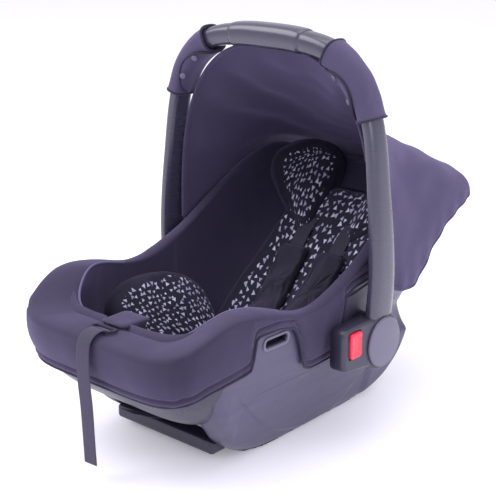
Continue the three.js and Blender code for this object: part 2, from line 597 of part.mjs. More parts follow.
const button = plateYZ(
  [BUTTON.y - BUTTON.width / 2, BUTTON.z - BUTTON.height / 2],
  [BUTTON.y + BUTTON.width / 2, BUTTON.z + BUTTON.height / 2],
  4.6,
  buttonBack,
  EAR.outer + BUTTON.proud,
);
const spring = new THREE.LatheGeometry([
  [SPRING.radius - SPRING.wall, 0], [SPRING.radius, 0], [SPRING.radius, SPRING.x1 - SPRING.x0],
  [SPRING.radius - SPRING.wall, SPRING.x1 - SPRING.x0], [SPRING.radius - SPRING.wall, 0],
].map(([r, h]) => new THREE.Vector2(r, h)), 16).rotateZ(-Math.PI / 2)
  .translate(buttonBack - TOUCH_GAP - (SPRING.x1 - SPRING.x0), BUTTON.y, BUTTON.z);
for (const [name, place] of sides) {
  const [first, last] = name === 'left'
    ? [ARCH_STEPS - sleeveSteps.last, ARCH_STEPS - sleeveSteps.first]
    : [sleeveSteps.first, sleeveSteps.last];
  add(`hub_${name}`, place(hub), 'shell');
  add(`hub_cap_${name}`, place(toSolid(capShape)), 'cap');
  add(`pivot_boss_${name}`, place(boss).subtract(bucketClear), 'shell');
  add(`pivot_pin_${name}`, place(pin), 'steel');
  add(`lock_ring_${name}`, place(ring), 'steel');
  add(`release_button_${name}`, place(toSolid(button)), 'button');
  add(`button_spring_${name}`, place(toSolid(outward(spring))), 'steel');
  add(`canopy_sleeve_${name}`, archSleeve(first, last, SLEEVE_THICK), 'canopy');
}

// ---------------------------------------------------------------- canopy
const canopyHemZ = graph([
  [48, 252], [100, 204], [150, 190], [175, 202], [205, 232], [240, 263], [270, 280], [CANOPY_REAR_Y, 300],
]);
const CANOPY_DROP = 80;

// Arched sections from the front edge back, below a roof that sags as it falls and clears the swinging handle.
function canopyVolume(inset, drop) {
  const [steps, rearSteps] = [18, 4];
  const front = CANOPY_FRONT_Y - drop / 4;
  const rear = CANOPY_REAR_Y - inset;
  const loft = new THREE.CylinderGeometry(1, 1, 1, 48, steps);
  return toSolid(outward(reshape(loft, (v) => {
    const step = Math.round((v.y + 0.5) * steps);
    const turn = Math.max(0, (step - steps + rearSteps) / rearSteps) * (Math.PI / 2);
    const straight = rear - CANOPY_REAR_ROUND - front;
    const y = front + Math.min(1, step / (steps - rearSteps)) * straight + CANOPY_REAR_ROUND * Math.sin(turn);
    const tuck = CANOPY_REAR_ROUND * (1 - Math.cos(turn));
    const t = THREE.MathUtils.clamp((y - CANOPY_FRONT_Y) / (CANOPY_REAR_Y - CANOPY_FRONT_Y), 0, 1);
    const half = CANOPY_HALF_WIDTH - inset - CANOPY_REAR_NARROWER * t - tuck;
    const roof = THREE.MathUtils.lerp(CANOPY_TOP_Z, CANOPY_REAR_TOP_Z, t) - CANOPY_SAG * Math.sin(Math.PI * t);
    const top = roof - inset - tuck;
    const base = canopyHemZ(y);
    if (Math.hypot(v.x, v.z) < 0.5) return new THREE.Vector3(0, y, (base + top) / 2);
    if (v.z < -1e-6) return new THREE.Vector3(v.x * half, y, base - drop);
    const round = 2 / THREE.MathUtils.lerp(2.8, 4, t ** 3);
    const x = Math.sign(v.x) * Math.abs(v.x) ** round * half;
    return new THREE.Vector3(x, y, base + (top - base) * Math.max(0, v.z) ** round);
  })));
}

const coverClear = bowlVolume(coverSkirt + TOUCH_GAP, shellFloor, coverSkirt + TOUCH_GAP, false);
const canopy = canopyVolume(0, 0).subtract(canopyVolume(CANOPY_THICK, CANOPY_DROP))
  .subtract(coverClear).subtract(hubAt(0, 300, 46));
add('canopy', canopy, 'canopy');

// The origin is midway between the cover's foot end and the canopy's rear.
root.position.y = (RIM_HALF_LENGTH + coverSkirt - CANOPY_REAR_Y) / 2;

export default root;
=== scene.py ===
# %% [markdown]
# # An infant car seat in Blender
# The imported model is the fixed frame. Each piece below is shaped around it, in metres,
# and rides on one of its bodies. The seat's own drawing is in millimetres.

# %% Load the frame
import math

import bmesh
import bpy
import numpy as np
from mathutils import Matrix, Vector


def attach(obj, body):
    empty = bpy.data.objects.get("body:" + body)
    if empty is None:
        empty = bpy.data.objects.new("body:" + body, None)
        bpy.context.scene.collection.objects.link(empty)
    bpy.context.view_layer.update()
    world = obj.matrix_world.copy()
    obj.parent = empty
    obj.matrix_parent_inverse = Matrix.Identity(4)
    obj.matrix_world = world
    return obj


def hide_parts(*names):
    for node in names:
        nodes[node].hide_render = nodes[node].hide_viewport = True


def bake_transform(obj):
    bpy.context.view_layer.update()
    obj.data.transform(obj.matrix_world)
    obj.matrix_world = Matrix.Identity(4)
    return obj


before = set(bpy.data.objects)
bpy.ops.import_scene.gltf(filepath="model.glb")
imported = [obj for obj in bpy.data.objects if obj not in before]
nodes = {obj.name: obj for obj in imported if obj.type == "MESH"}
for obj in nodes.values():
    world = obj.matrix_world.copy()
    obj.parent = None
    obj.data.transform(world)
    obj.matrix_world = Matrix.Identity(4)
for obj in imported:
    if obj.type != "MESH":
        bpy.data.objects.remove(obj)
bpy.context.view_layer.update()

# %% [markdown]
# The pieces below are drawn in millimetres and fitted to the frame; this turns their points into the frame's
# metres.

# The drawing's origin is 3.1 mm behind the frame's.
DRAWING_SHIFT = 3.1


def place_mm(points):
    """Points of the drawing, in mm, as metres in the frame."""
    points = np.asarray(points, float)
    return (points - np.array([0.0, DRAWING_SHIFT, 0.0])) / 1000.0


# %% [markdown]
# ## Camera
# A seat like this is shown from the foot end and its left side, from a little above,
# with a long lens so that the handle's two legs stay nearly parallel.

# %% Camera
AIM = Vector((0.0, -0.0031, 0.25))
TURN = math.radians(41.25)
LIFT = math.radians(17.95)
back = Vector((math.sin(TURN) * math.cos(LIFT), -math.cos(TURN) * math.cos(LIFT), math.sin(LIFT)))
lens = bpy.data.cameras.new("camera")
lens.sensor_width = 36.0
lens.lens = 87.1
lens.shift_x = -0.006
lens.shift_y = -0.0062
lens.clip_end = 60.0
camera = bpy.data.objects.new("camera", lens)
bpy.context.scene.collection.objects.link(camera)
camera.location = AIM + back * 1.8
camera.rotation_euler = (-back).to_track_quat("-Z", "Y").to_euler()
bpy.context.scene.camera = camera
print("camera", [round(v, 3) for v in camera.location])

# %% [markdown]
# ## Tools for making meshes
# Most pieces are rows of points joined into a skin: a bowl, a tube, a band of webbing.
# Each gets a flat map in metres along the cloth, so that a print keeps its real size.

# %% Mesh tools


def make_mesh(name, points_mm, faces, face_uvs=None, finishes=None):
    """A smooth mesh object from points in mm."""
    mesh = bpy.data.meshes.new(name)
    mesh.from_pydata(place_mm(points_mm).tolist(), [], [tuple(int(i) for i in f) for f in faces])
    if face_uvs is not None:
        layer = mesh.uv_layers.new(name="cloth")
        layer.data.foreach_set("uv", np.asarray(face_uvs, float).ravel())
    for polygon in mesh.polygons:
        polygon.use_smooth = True
    if finishes is not None:
        mesh.polygons.foreach_set("material_index", np.asarray(finishes, int))
    mesh.update()
    thing = bpy.data.objects.new(name, mesh)
    bpy.context.scene.collection.objects.link(thing)
    return thing


def grid_mesh(name, grid, around=False, ends=False):
    """A skin through grid[row][column], joined round its columns and closed at its end rows if asked."""
    grid = np.asarray(grid, float)
    rows, columns = grid.shape[:2]
    span = columns if around else columns - 1
    wrapped = np.concatenate([grid, grid[:, :1]], axis=1) if around else grid
    across = np.linalg.norm(np.diff(wrapped, axis=1), axis=2).mean(axis=0)
    along = np.linalg.norm(np.diff(grid, axis=0), axis=2).mean(axis=1)
    u = np.concatenate([[0.0], np.cumsum(across)]) / 1000.0
    v = np.concatenate([[0.0], np.cumsum(along)]) / 1000.0
    faces = []
    uvs = []
    for r in range(rows - 1):
        for c in range(span):
            d = (c + 1) % columns
            faces.append((r * columns + c, r * columns + d, (r + 1) * columns + d, (r + 1) * columns + c))
            uvs.append(((u[c], v[r]), (u[c + 1], v[r]), (u[c + 1], v[r + 1]), (u[c], v[r + 1])))
    flat_uvs = [pair for face in uvs for pair in face]
    if ends:
        first = tuple(reversed(range(columns)))
        last = tuple((rows - 1) * columns + c for c in range(columns))
        for ring, row in ((first, 0), (last, rows - 1)):
            faces.append(ring)
            flat_uvs.extend([(u[0], v[row])] * columns)
    thing = make_mesh(name, grid.reshape(-1, 3), faces, flat_uvs)
    return thing


def apply_modifiers(thing):
    """Bakes the modifiers into the mesh."""
    graph_now = bpy.context.evaluated_depsgraph_get()
    baked = bpy.data.meshes.new_from_object(thing.evaluated_get(graph_now), depsgraph=graph_now)
    thing.modifiers.clear()
    thing.data = baked
    return thing


def outward(thing):
    """Makes the faces of a closed mesh look outwards."""
    work = bmesh.new()
    work.from_mesh(thing.data)
    bmesh.ops.recalc_face_normals(work, faces=work.faces)
    if work.calc_volume(signed=True) < 0:
        bmesh.ops.reverse_faces(work, faces=work.faces)
    work.to_mesh(thing.data)
    work.free()
    return thing


def thicken(thing, mm, offset=-1.0):
    """Gives a skin a wall."""
    wall = thing.modifiers.new("wall", "SOLIDIFY")
    wall.thickness = mm / 1000.0
    wall.offset = offset
    return apply_modifiers(thing)


def soften_edges(thing, mm, steps=3, angle=35.0):
    """Rounds the hard edges, as a mould or a saw would leave them."""
    edge = thing.modifiers.new("edge", "BEVEL")
    edge.width = mm / 1000.0
    edge.segments = steps
    edge.limit_method = "ANGLE"
    edge.angle_limit = math.radians(angle)
    edge.use_clamp_overlap = True
    edge.harden_normals = False
    return thing


def belongs(thing, body, finish, slot, *stands_for):
    """Sets what a piece rides on, its material and the frame pieces it stands for; slot is not used."""
    if finish is not None:
        kept = np.zeros(len(thing.data.polygons), int)
        if isinstance(finish, (list, tuple)):
            thing.data.polygons.foreach_get("material_index", kept)
        thing.data.materials.clear()
        for each in finish if isinstance(finish, (list, tuple)) else [finish]:
            thing.data.materials.append(each)
        thing.data.polygons.foreach_set("material_index", kept)
    if body is not None:
        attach(thing, body)
    if stands_for:
        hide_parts(*stands_for)
    return thing


def graph(points):
    """A smooth curve through (x, y) points, read as y at x."""
    xs, ys = np.array(points, float).T
    slope = np.empty(len(xs))
    slope[1:-1] = (ys[2:] - ys[:-2]) / (xs[2:] - xs[:-2])
    slope[0] = (ys[1] - ys[0]) / (xs[1] - xs[0])
    slope[-1] = (ys[-1] - ys[-2]) / (xs[-1] - xs[-2])

    def read(x):
        at = np.clip(x, xs[0], xs[-1])
        i = np.clip(np.searchsorted(xs, at, side="left") - 1, 0, len(xs) - 2)
        run = xs[i + 1] - xs[i]
        t = (at - xs[i]) / run
        base = (2 * t**3 - 3 * t**2 + 1) * ys[i] + (3 * t**2 - 2 * t**3) * ys[i + 1]
        return base + run * ((t**3 - 2 * t**2 + t) * slope[i] + (t**3 - t**2) * slope[i + 1])

    return read


def smooth_path(points, count, closed=False):
    """Evenly spaced points on a centripetal curve through the given ones."""
    points = np.asarray(points, float)
    if closed:
        points = np.concatenate([points[-1:], points, points[:2]])
    else:
        first = 2 * points[0] - points[1]
        last = 2 * points[-1] - points[-2]
        points = np.concatenate([[first], points, [last]])
    fine = []
    for a, b, c, d in zip(points, points[1:], points[2:], points[3:]):
        knots = [0.0]
        for p, q in ((a, b), (b, c), (c, d)):
            knots.append(knots[-1] + max(np.linalg.norm(q - p), 1e-6) ** 0.5)
        t0, t1, t2, t3 = knots
        t = np.linspace(t1, t2, 24, endpoint=False)[:, None]
        a1 = (t1 - t) / (t1 - t0) * a + (t - t0) / (t1 - t0) * b
        a2 = (t2 - t) / (t2 - t1) * b + (t - t1) / (t2 - t1) * c
        a3 = (t3 - t) / (t3 - t2) * c + (t - t2) / (t3 - t2) * d
        b1 = (t2 - t) / (t2 - t0) * a1 + (t - t0) / (t2 - t0) * a2
        b2 = (t3 - t) / (t3 - t1) * a2 + (t - t1) / (t3 - t1) * a3
        fine.append((t2 - t) / (t2 - t1) * b1 + (t - t1) / (t2 - t1) * b2)
    fine.append(points[-2][None] if not closed else points[1][None])
    fine = np.concatenate(fine)
    length = np.concatenate([[0.0], np.cumsum(np.linalg.norm(np.diff(fine, axis=0), axis=1))])
    at = np.linspace(0.0, length[-1], count, endpoint=not closed)
    return np.stack([np.interp(at, length, fine[:, k]) for k in range(3)], axis=1)


def unit(v):
    return v / np.maximum(np.linalg.norm(v, axis=-1, keepdims=True), 1e-9)


def directions(path, closed=False):
    """The direction along a path at each of its points."""
    if closed:
        return unit(np.roll(path, -1, axis=0) - np.roll(path, 1, axis=0))
    return unit(np.gradient(path, axis=0))


def round_tube(name, path, radius, sides=10, closed=False, flat=1.0, up=(0.0, 0.0, 1.0)):
    """Piping or a rod along a path. flat squashes its section across the up direction."""
    path = np.asarray(path, float)
    along = directions(path, closed)
    side = unit(np.cross(along, np.broadcast_to(np.asarray(up, float), path.shape)))
    over = np.cross(side, along)
    turn = np.linspace(0, 2 * math.pi, sides, endpoint=False)
    ring = (
        side[:, None] * (np.cos(turn) * radius)[None, :, None]
        + over[:, None] * (np.sin(turn) * radius * flat)[None, :, None]
    )
    grid = path[:, None] + ring
    if closed:
        grid = np.concatenate([grid, grid[:1]])
    return outward(grid_mesh(name, grid, around=True, ends=not closed))


def webbing_band(name, path, width, thick, across=(1.0, 0.0, 0.0), ripple=0.0):
    """A woven strap along a path, with rounded selvedges."""
    path = np.asarray(path, float)
    along = directions(path)
    across = np.asarray(across, float)
    side = unit(across - (along @ across)[:, None] * along)
    over = np.cross(along, side)
    turn = np.linspace(0, 2 * math.pi, 28, endpoint=False)
    x = np.sign(np.cos(turn)) * np.abs(np.cos(turn)) ** 0.35 * width / 2
    y = np.sign(np.sin(turn)) * np.abs(np.sin(turn)) ** 0.7 * thick / 2
    wave = ripple * np.sin(np.linspace(0, 9, len(path)))[:, None] * (x / width)[None]
    grid = path[:, None] + side[:, None] * x[None, :, None] + over[:, None] * (y[None] + wave)[..., None]
    return outward(grid_mesh(name, grid, around=True, ends=True))


def hills(points, size, seed=0):
    """Smooth repeatable bumps between about -1 and 1, one hill every size mm."""
    points = np.asarray(points, float)
    draw = np.random.default_rng(seed)
    total = np.zeros(points.shape[:-1])
    for _ in range(9):
        way = unit(draw.normal(size=3))
        total += np.sin(points @ way * (2 * math.pi / size) * draw.uniform(0.6, 1.5) + draw.uniform(0, 6.3))
    return total / 4.5


print("mesh tools ready")

# %% [markdown]
# ## Tools for making materials
# The effects that several materials share are node groups: a weave, the soft blotches of
# washed cloth, the grain of moulded plastic and a scatter of small triangles.

# %% Material tools


def put(tree, kind, **settings):
    made = tree.nodes.new(kind)
    for key, value in settings.items():
        setattr(made, key, value)
    return made


def feed(tree, socket, value):
    """Sets a socket to a number or colour, or wires it to another node."""
    if isinstance(value, bpy.types.NodeSocket):
        tree.links.new(value, socket)
    else:
        socket.default_value = value


def sums(tree, operation, *values):
    made = put(tree, "ShaderNodeMath", operation=operation)
    for i, value in enumerate(values):
        feed(tree, made.inputs[i], value)
    return made.outputs[0]


def vectors(tree, operation, *values):
    made = put(tree, "ShaderNodeVectorMath", operation=operation)
    for i, value in enumerate(values):
        feed(tree, made.inputs[i], value)
    return made.outputs["Value" if operation == "DOT_PRODUCT" else "Vector"]


def blend_colours(tree, share, a, b):
    made = put(tree, "ShaderNodeMix", data_type="RGBA")
    feed(tree, made.inputs[0], share)
    feed(tree, made.inputs[6], a)
    feed(tree, made.inputs[7], b)
    return made.outputs[2]


def noise(tree, vector, scale, detail=3.0, rough=0.5):
    made = put(tree, "ShaderNodeTexNoise")
    feed(tree, made.inputs["Vector"], vector)
    feed(tree, made.inputs["Scale"], scale)
    feed(tree, made.inputs["Detail"], detail)
    feed(tree, made.inputs["Roughness"], rough)
    return made.outputs["Fac"]


def between(tree, value, low, high, to_low=0.0, to_high=1.0):
    made = put(tree, "ShaderNodeMapRange", clamp=True)
    for socket, each in zip(made.inputs, (value, low, high, to_low, to_high)):
        feed(tree, socket, each)
    return made.outputs[0]


def new_group(name, inputs, outputs):
    tree = bpy.data.node_groups.new(name, "ShaderNodeTree")
    for label, kind in inputs:
        tree.interface.new_socket(label, in_out="INPUT", socket_type=kind)
    for label, kind in outputs:
        tree.interface.new_socket(label, in_out="OUTPUT", socket_type=kind)
    return tree, tree.nodes.new("NodeGroupInput"), tree.nodes.new("NodeGroupOutput")


def use_group(tree, group, **values):
    made = put(tree, "ShaderNodeGroup", node_tree=group)
    for label, value in values.items():
        feed(tree, made.inputs[label], value)
    return made


FLOAT = "NodeSocketFloat"
VECTOR = "NodeSocketVector"

# Over-and-under threads.
weave, have, give = new_group("weave", [("Vector", VECTOR), ("Threads", FLOAT)], [("Height", FLOAT)])
grown = put(weave, "ShaderNodeVectorMath", operation="SCALE")
feed(weave, grown.inputs[0], have.outputs["Vector"])
feed(weave, grown.inputs["Scale"], have.outputs["Threads"])
parts = put(weave, "ShaderNodeSeparateXYZ")
feed(weave, parts.inputs[0], grown.outputs[0])
wave_x = sums(weave, "SINE", sums(weave, "MULTIPLY", parts.outputs[0], 2 * math.pi))
wave_y = sums(weave, "SINE", sums(weave, "MULTIPLY", parts.outputs[1], 2 * math.pi))
fuzz = noise(weave, grown.outputs[0], 0.7, 2.0)
threads = sums(weave, "MULTIPLY_ADD", sums(weave, "MULTIPLY", wave_x, wave_y), 0.35, 0.5)
feed(weave, give.inputs["Height"], sums(weave, "MULTIPLY_ADD", fuzz, 0.5, threads))

# Soft blotches and worn ridges of cloth.
wear, have, give = new_group("cloth_wear", [("Vector", VECTOR)], [("Shade", FLOAT), ("Crease", FLOAT)])
broad = noise(wear, have.outputs["Vector"], 14.0, 4.0, 0.6)
fine = noise(wear, have.outputs["Vector"], 160.0, 3.0, 0.6)
both = sums(wear, "MULTIPLY_ADD", fine, 0.35, sums(wear, "MULTIPLY", broad, 0.65))
feed(wear, give.inputs["Shade"], between(wear, both, 0.3, 0.7, 0.84, 1.12))
feed(wear, give.inputs["Crease"], noise(wear, have.outputs["Vector"], 38.0, 4.0, 0.55))

# The fine texture of moulded plastic, with faint rubbed marks.
grain, have, give = new_group("plastic_grain", [("Vector", VECTOR)], [("Height", FLOAT), ("Rub", FLOAT)])
feed(grain, give.inputs["Height"], noise(grain, have.outputs["Vector"], 1400.0, 2.0, 0.6))
drawn = vectors(grain, "MULTIPLY", have.outputs["Vector"], (1.0, 1.0, 7.0))
feed(grain, give.inputs["Rub"], between(grain, noise(grain, drawn, 9.0, 5.0, 0.65), 0.35, 0.7))

# Small triangles, each turned its own way.
scatter, have, give = new_group(
    "triangles",
    [("Vector", VECTOR), ("PerMetre", FLOAT)],
    [("Mask", FLOAT), ("Pick", FLOAT)],
)
grown = put(scatter, "ShaderNodeVectorMath", operation="SCALE")
feed(scatter, grown.inputs[0], have.outputs["Vector"])
feed(scatter, grown.inputs["Scale"], have.outputs["PerMetre"])
cells = put(scatter, "ShaderNodeTexVoronoi", voronoi_dimensions="2D", feature="F1")
feed(scatter, cells.inputs["Vector"], grown.outputs[0])
cells.inputs["Scale"].default_value = 1.0
cells.inputs["Randomness"].default_value = 0.62
local = vectors(scatter, "SUBTRACT", grown.outputs[0], cells.outputs["Position"])
pick = put(scatter, "ShaderNodeSeparateColor")
feed(scatter, pick.inputs[0], cells.outputs["Color"])
sixth = sums(scatter, "FLOOR", sums(scatter, "MULTIPLY", pick.outputs[0], 8.0))
turned = put(scatter, "ShaderNodeVectorRotate", rotation_type="Z_AXIS")
feed(scatter, turned.inputs["Vector"], local)
feed(scatter, turned.inputs["Angle"], sums(scatter, "MULTIPLY", sixth, math.pi / 4))
sides = []
for step in range(3):
    angle = step * 2 * math.pi / 3
    sides.append(vectors(scatter, "DOT_PRODUCT", turned.outputs[0], (math.cos(angle), math.sin(angle), 0.0)))
reach = sums(scatter, "MAXIMUM", sums(scatter, "MAXIMUM", sides[0], sides[1]), sides[2])
limit = between(scatter, pick.outputs[1], 0.0, 1.0, 0.13, 0.235)
over = sums(scatter, "SUBTRACT", reach, limit)
feed(scatter, give.inputs["Mask"], between(scatter, over, -0.015, 0.015, 1.0, 0.0))
feed(scatter, give.inputs["Pick"], pick.outputs[2])


def bump(tree, bsdf, height, strength, distance):
    """Raises the surface a little where height is large."""
    made = put(tree, "ShaderNodeBump")
    feed(tree, made.inputs["Strength"], strength)
    feed(tree, made.inputs["Distance"], distance)
    feed(tree, made.inputs["Height"], height)
    feed(tree, bsdf.inputs["Normal"], made.outputs[0])


def start_material(name):
    """A new material with its nodes and texture coordinates."""
    finish = bpy.data.materials.new(name)
    finish.use_nodes = True
    tree = finish.node_tree
    spots = put(tree, "ShaderNodeTexCoord")
    return finish, tree, tree.nodes["Principled BSDF"], spots


def plastic(name, colour, roughness=0.42, rub=0.1, coat=0.0):
    """Moulded plastic with a fine grain."""
    finish, tree, bsdf, spots = start_material(name)
    texture = use_group(tree, grain, Vector=spots.outputs["Object"])
    rubbed = sums(tree, "MULTIPLY", texture.outputs["Rub"], 0.3)
    paler = [c * 1.25 for c in colour]
    worn = blend_colours(tree, rubbed, (*colour, 1.0), (*paler, 1.0))
    feed(tree, bsdf.inputs["Base Color"], worn)
    dull = between(tree, texture.outputs["Rub"], 0.0, 1.0, roughness - rub, roughness + rub)
    feed(tree, bsdf.inputs["Roughness"], dull)
    bsdf.inputs["Coat Weight"].default_value = coat
    bsdf.inputs["Coat Roughness"].default_value = 0.25
    bump(tree, bsdf, texture.outputs["Height"], 0.25, 0.00025)
    return finish


def cloth(
    name, colour, threads=700.0, relief=0.0004, sheen=0.35, rough=0.85,
    print_colours=None, crease=0.5, use_map=True,
):
    """Woven or knitted cloth, plain or printed with triangles."""
    finish, tree, bsdf, spots = start_material(name)
    flat = spots.outputs["UV" if use_map else "Object"]
    life = use_group(tree, wear, Vector=spots.outputs["Object"])
    base = (*colour, 1.0)
    if print_colours:
        marks = use_group(tree, scatter, Vector=flat, PerMetre=98.0)
        ink = blend_colours(tree, marks.outputs["Pick"], (*print_colours[0], 1.0), (*print_colours[1], 1.0))
        base = blend_colours(tree, marks.outputs["Mask"], (*colour, 1.0), ink)
    shaded = put(tree, "ShaderNodeMix", data_type="RGBA", blend_type="MULTIPLY")
    shaded.inputs[0].default_value = 1.0
    feed(tree, shaded.inputs[6], base)
    grey = put(tree, "ShaderNodeCombineColor")
    for k in range(3):
        feed(tree, grey.inputs[k], life.outputs["Shade"])
    feed(tree, shaded.inputs[7], grey.outputs[0])
    feed(tree, bsdf.inputs["Base Color"], shaded.outputs[2])
    bsdf.inputs["Roughness"].default_value = rough
    bsdf.inputs["Sheen Weight"].default_value = sheen
    bsdf.inputs["Sheen Roughness"].default_value = 0.5
    bsdf.inputs["Sheen Tint"].default_value = (0.62, 0.52, 0.95, 1.0)
    woven = use_group(tree, weave, Vector=flat, Threads=threads)
    height = sums(tree, "MULTIPLY_ADD", life.outputs["Crease"], crease * 4.0, woven.outputs["Height"])
    bump(tree, bsdf, height, 0.6, relief)
    return finish


def metal(name, colour, roughness=0.3):
    """Plain metal with a fine grain."""
    finish, tree, bsdf, spots = start_material(name)
    texture = use_group(tree, grain, Vector=spots.outputs["Object"])
    feed(tree, bsdf.inputs["Base Color"], (*colour, 1.0))
    bsdf.inputs["Metallic"].default_value = 1.0
    dull = between(tree, texture.outputs["Rub"], 0.0, 1.0, roughness - 0.08, roughness + 0.12)
    feed(tree, bsdf.inputs["Roughness"], dull)
    bump(tree, bsdf, texture.outputs["Height"], 0.15, 0.0001)
    return finish


shell_finish = plastic("shell_plastic", (0.072, 0.062, 0.118), 0.4)
handle_finish = plastic("handle_plastic", (0.04, 0.0365, 0.067), 0.27, 0.05, coat=0.5)
# Dark hub plastic. The shell and the cross bars wear it too, as painted shade where they lie in shadow under
# the seat.
hub_and_shade_finish = plastic("hub_plastic_and_painted_shade", (0.035, 0.031, 0.056), 0.36)
cap_finish = plastic("cap_plastic", (0.14, 0.128, 0.19), 0.4)
red_finish = plastic("red_plastic", (0.78, 0.012, 0.05), 0.28, 0.05, coat=0.3)
cover_finish = cloth("cover_fabric", (0.021, 0.0155, 0.045), 620.0, 0.0005, sheen=0.3)
canopy_finish = cloth("canopy_fabric", (0.057, 0.045, 0.1), 900.0, 0.0003, sheen=0.3, crease=0.25)
binding_finish = cloth("binding_fabric", (0.013, 0.0105, 0.027), 900.0, 0.0003, sheen=0.2)
piping_finish = cloth("lip_piping", (0.12, 0.105, 0.2), 900.0, 0.0003, sheen=0.2)
print_finish = cloth(
    "printed_jersey", (0.0105, 0.0098, 0.027), 900.0, 0.0003, sheen=0.25,
    print_colours=((0.8, 0.78, 0.95), (0.4, 0.37, 0.58)),
)
pad_finish = cloth("pad_fabric", (0.016, 0.013, 0.03), 800.0, 0.0004, sheen=0.35)
webbing_finish = cloth("webbing", (0.036, 0.032, 0.056), 420.0, 0.0006, sheen=0.25, crease=0.1)
foam_finish = cloth("bead_foam", (0.72, 0.72, 0.76), 160.0, 0.0006, sheen=0.0, use_map=False)
steel_finish = metal("steel", (0.62, 0.63, 0.66), 0.3)
print("materials", len(bpy.data.materials))

# %% [markdown]
# ## The form of the bucket
# The bucket is a bowl. Its rim is nearly square at the foot end and rounder at the head,
# and dips between the legs and the shoulders. Every soft layer is this bowl moved in or out.

# %% Bowl form
RIM_HALF_WIDTH = 171.0
RIM_HALF_LENGTH = 318.0
DEEPEST_Y = 20.0
SHELL_FLOOR = 34.0
rim_z = graph([(-322, 196), (-225, 233), (-75, 208), (20, 235), (150, 306), (240, 338), (322, 316)])
seat_rise = graph([(-322, 40), (-200, 6), (-60, 0), (20, 8), (120, 78), (220, 168), (322, 250)])


def shell_floor(y):
    return SHELL_FLOOR + 0.0 * y


def seat_floor(y):
    return SHELL_FLOOR + 5.0 + seat_rise(y)


def rim_point(angle, grow):
    n = np.where(np.sin(angle) < 0, 6.0, 3.5)
    reach = (np.abs(np.cos(angle)) ** n + np.abs(np.sin(angle)) ** n) ** (-1 / n)
    return (RIM_HALF_WIDTH + grow) * np.cos(angle) * reach, (RIM_HALF_LENGTH + grow) * np.sin(angle) * reach


def bowl_point(angle, s, grow, floor_at, lift=0.0):
    """A point of the bowl: s is 0 at the middle of the floor and 1 at the rim."""
    rim_x, rim_y = rim_point(angle, grow)
    out = np.sin(s * math.pi / 2) ** 0.8
    up = 1 - np.clip(np.cos(s * math.pi / 2), 0, 1) ** 0.8
    y = DEEPEST_Y + out * (rim_y - DEEPEST_Y)
    low = floor_at(y) - grow
    z = low + up * (rim_z(rim_y) + lift - low)
    return np.stack([out * rim_x, y, z], axis=-1)


def bowl_z(x, y, grow, floor_at):
    """The height of the bowl's surface at a place in plan."""
    x, y = np.broadcast_arrays(np.asarray(x, float), np.asarray(y, float))
    near = np.full(x.shape, 1e-3)
    far = np.ones(x.shape)
    for _ in range(36):
        out = (near + far) / 2
        u = x / out / (RIM_HALF_WIDTH + grow)
        v = (DEEPEST_Y + (y - DEEPEST_Y) / out) / (RIM_HALF_LENGTH + grow)
        n = np.where(v < 0, 6.0, 3.5)
        outside = np.abs(u) ** n + np.abs(v) ** n > 1
        near = np.where(outside, out, near)
        far = np.where(outside, far, out)
    a = np.arcsin(np.clip(far, 0, 1) ** 1.25)
    low = floor_at(y) - grow
    rim_y = DEEPEST_Y + (y - DEEPEST_Y) / far
    return low + (1 - np.cos(a) ** 0.8) * (rim_z(rim_y) - low)


def find_rise(angle, height, grow, floor_at, lift=0.0):
    """The s at which the bowl reaches a height, which may depend on y."""
    low = np.full(np.shape(angle), 0.02)
    high = np.ones(np.shape(angle))
    for _ in range(30):
        s = (low + high) / 2
        point = bowl_point(angle, s, grow, floor_at, lift)
        target = height(point[..., 1]) if callable(height) else height
        under = point[..., 2] < target
        low = np.where(under, s, low)
        high = np.where(under, high, s)
    return high


def grid_normals(grid, around=False):
    """Unit normals of a grid of points."""
    if around:
        across = np.roll(grid, -1, axis=1) - np.roll(grid, 1, axis=1)
    else:
        across = np.gradient(grid, axis=1)
    return unit(np.cross(across, np.gradient(grid, axis=0)))


LINING_IN = -11.8
OVER_LINER = 15.6
print("rim heights", [round(float(rim_z(y))) for y in (-318, -100, 100, 318)])

# %% [markdown]
# ## Shell
# The shell is one injection moulding, 5 mm thick. It shows under the cover's hem,
# in the belt windows and at the back of the head end.

# %% Shell
AROUND = np.linspace(0, 2 * math.pi, 220, endpoint=False)
rises = np.linspace(0.02, 1.0, 46)
outer = np.stack([bowl_point(AROUND, s, 0.0, shell_floor) for s in rises])
edge = outer[-1] * 1.0
edge[:, 2] += 1.5
inner_edge = np.stack([bowl_point(AROUND, s, -5.0, shell_floor) for s in rises[::-1]])
shell_skin = grid_mesh("shell_skin", np.concatenate([outer, inner_edge]), around=True, ends=True)
outward(shell_skin)
slot_y = ((-166 - DRAWING_SHIFT) / 1000.0, (-124 - DRAWING_SHIFT) / 1000.0)


def cutter(name, low, high):
    """A box to cut with, in metres."""
    corners = [(x, y, z) for x in (low[0], high[0]) for y in (low[1], high[1]) for z in (low[2], high[2])]
    faces = [(0, 1, 3, 2), (4, 6, 7, 5), (0, 4, 5, 1), (2, 3, 7, 6), (0, 2, 6, 4), (1, 5, 7, 3)]
    mesh = bpy.data.meshes.new(name)
    mesh.from_pydata(corners, [], faces)
    thing = bpy.data.objects.new(name, mesh)
    bpy.context.scene.collection.objects.link(thing)
    return outward(thing)


def cut_away(thing, *tools):
    for tool in tools:
        cut = thing.modifiers.new("cut", "BOOLEAN")
        cut.operation = "DIFFERENCE"
        cut.solver = "EXACT"
        cut.object = tool
    bpy.context.view_layer.update()
    apply_modifiers(thing)
    for tool in tools:
        bpy.data.objects.remove(tool)
    return thing


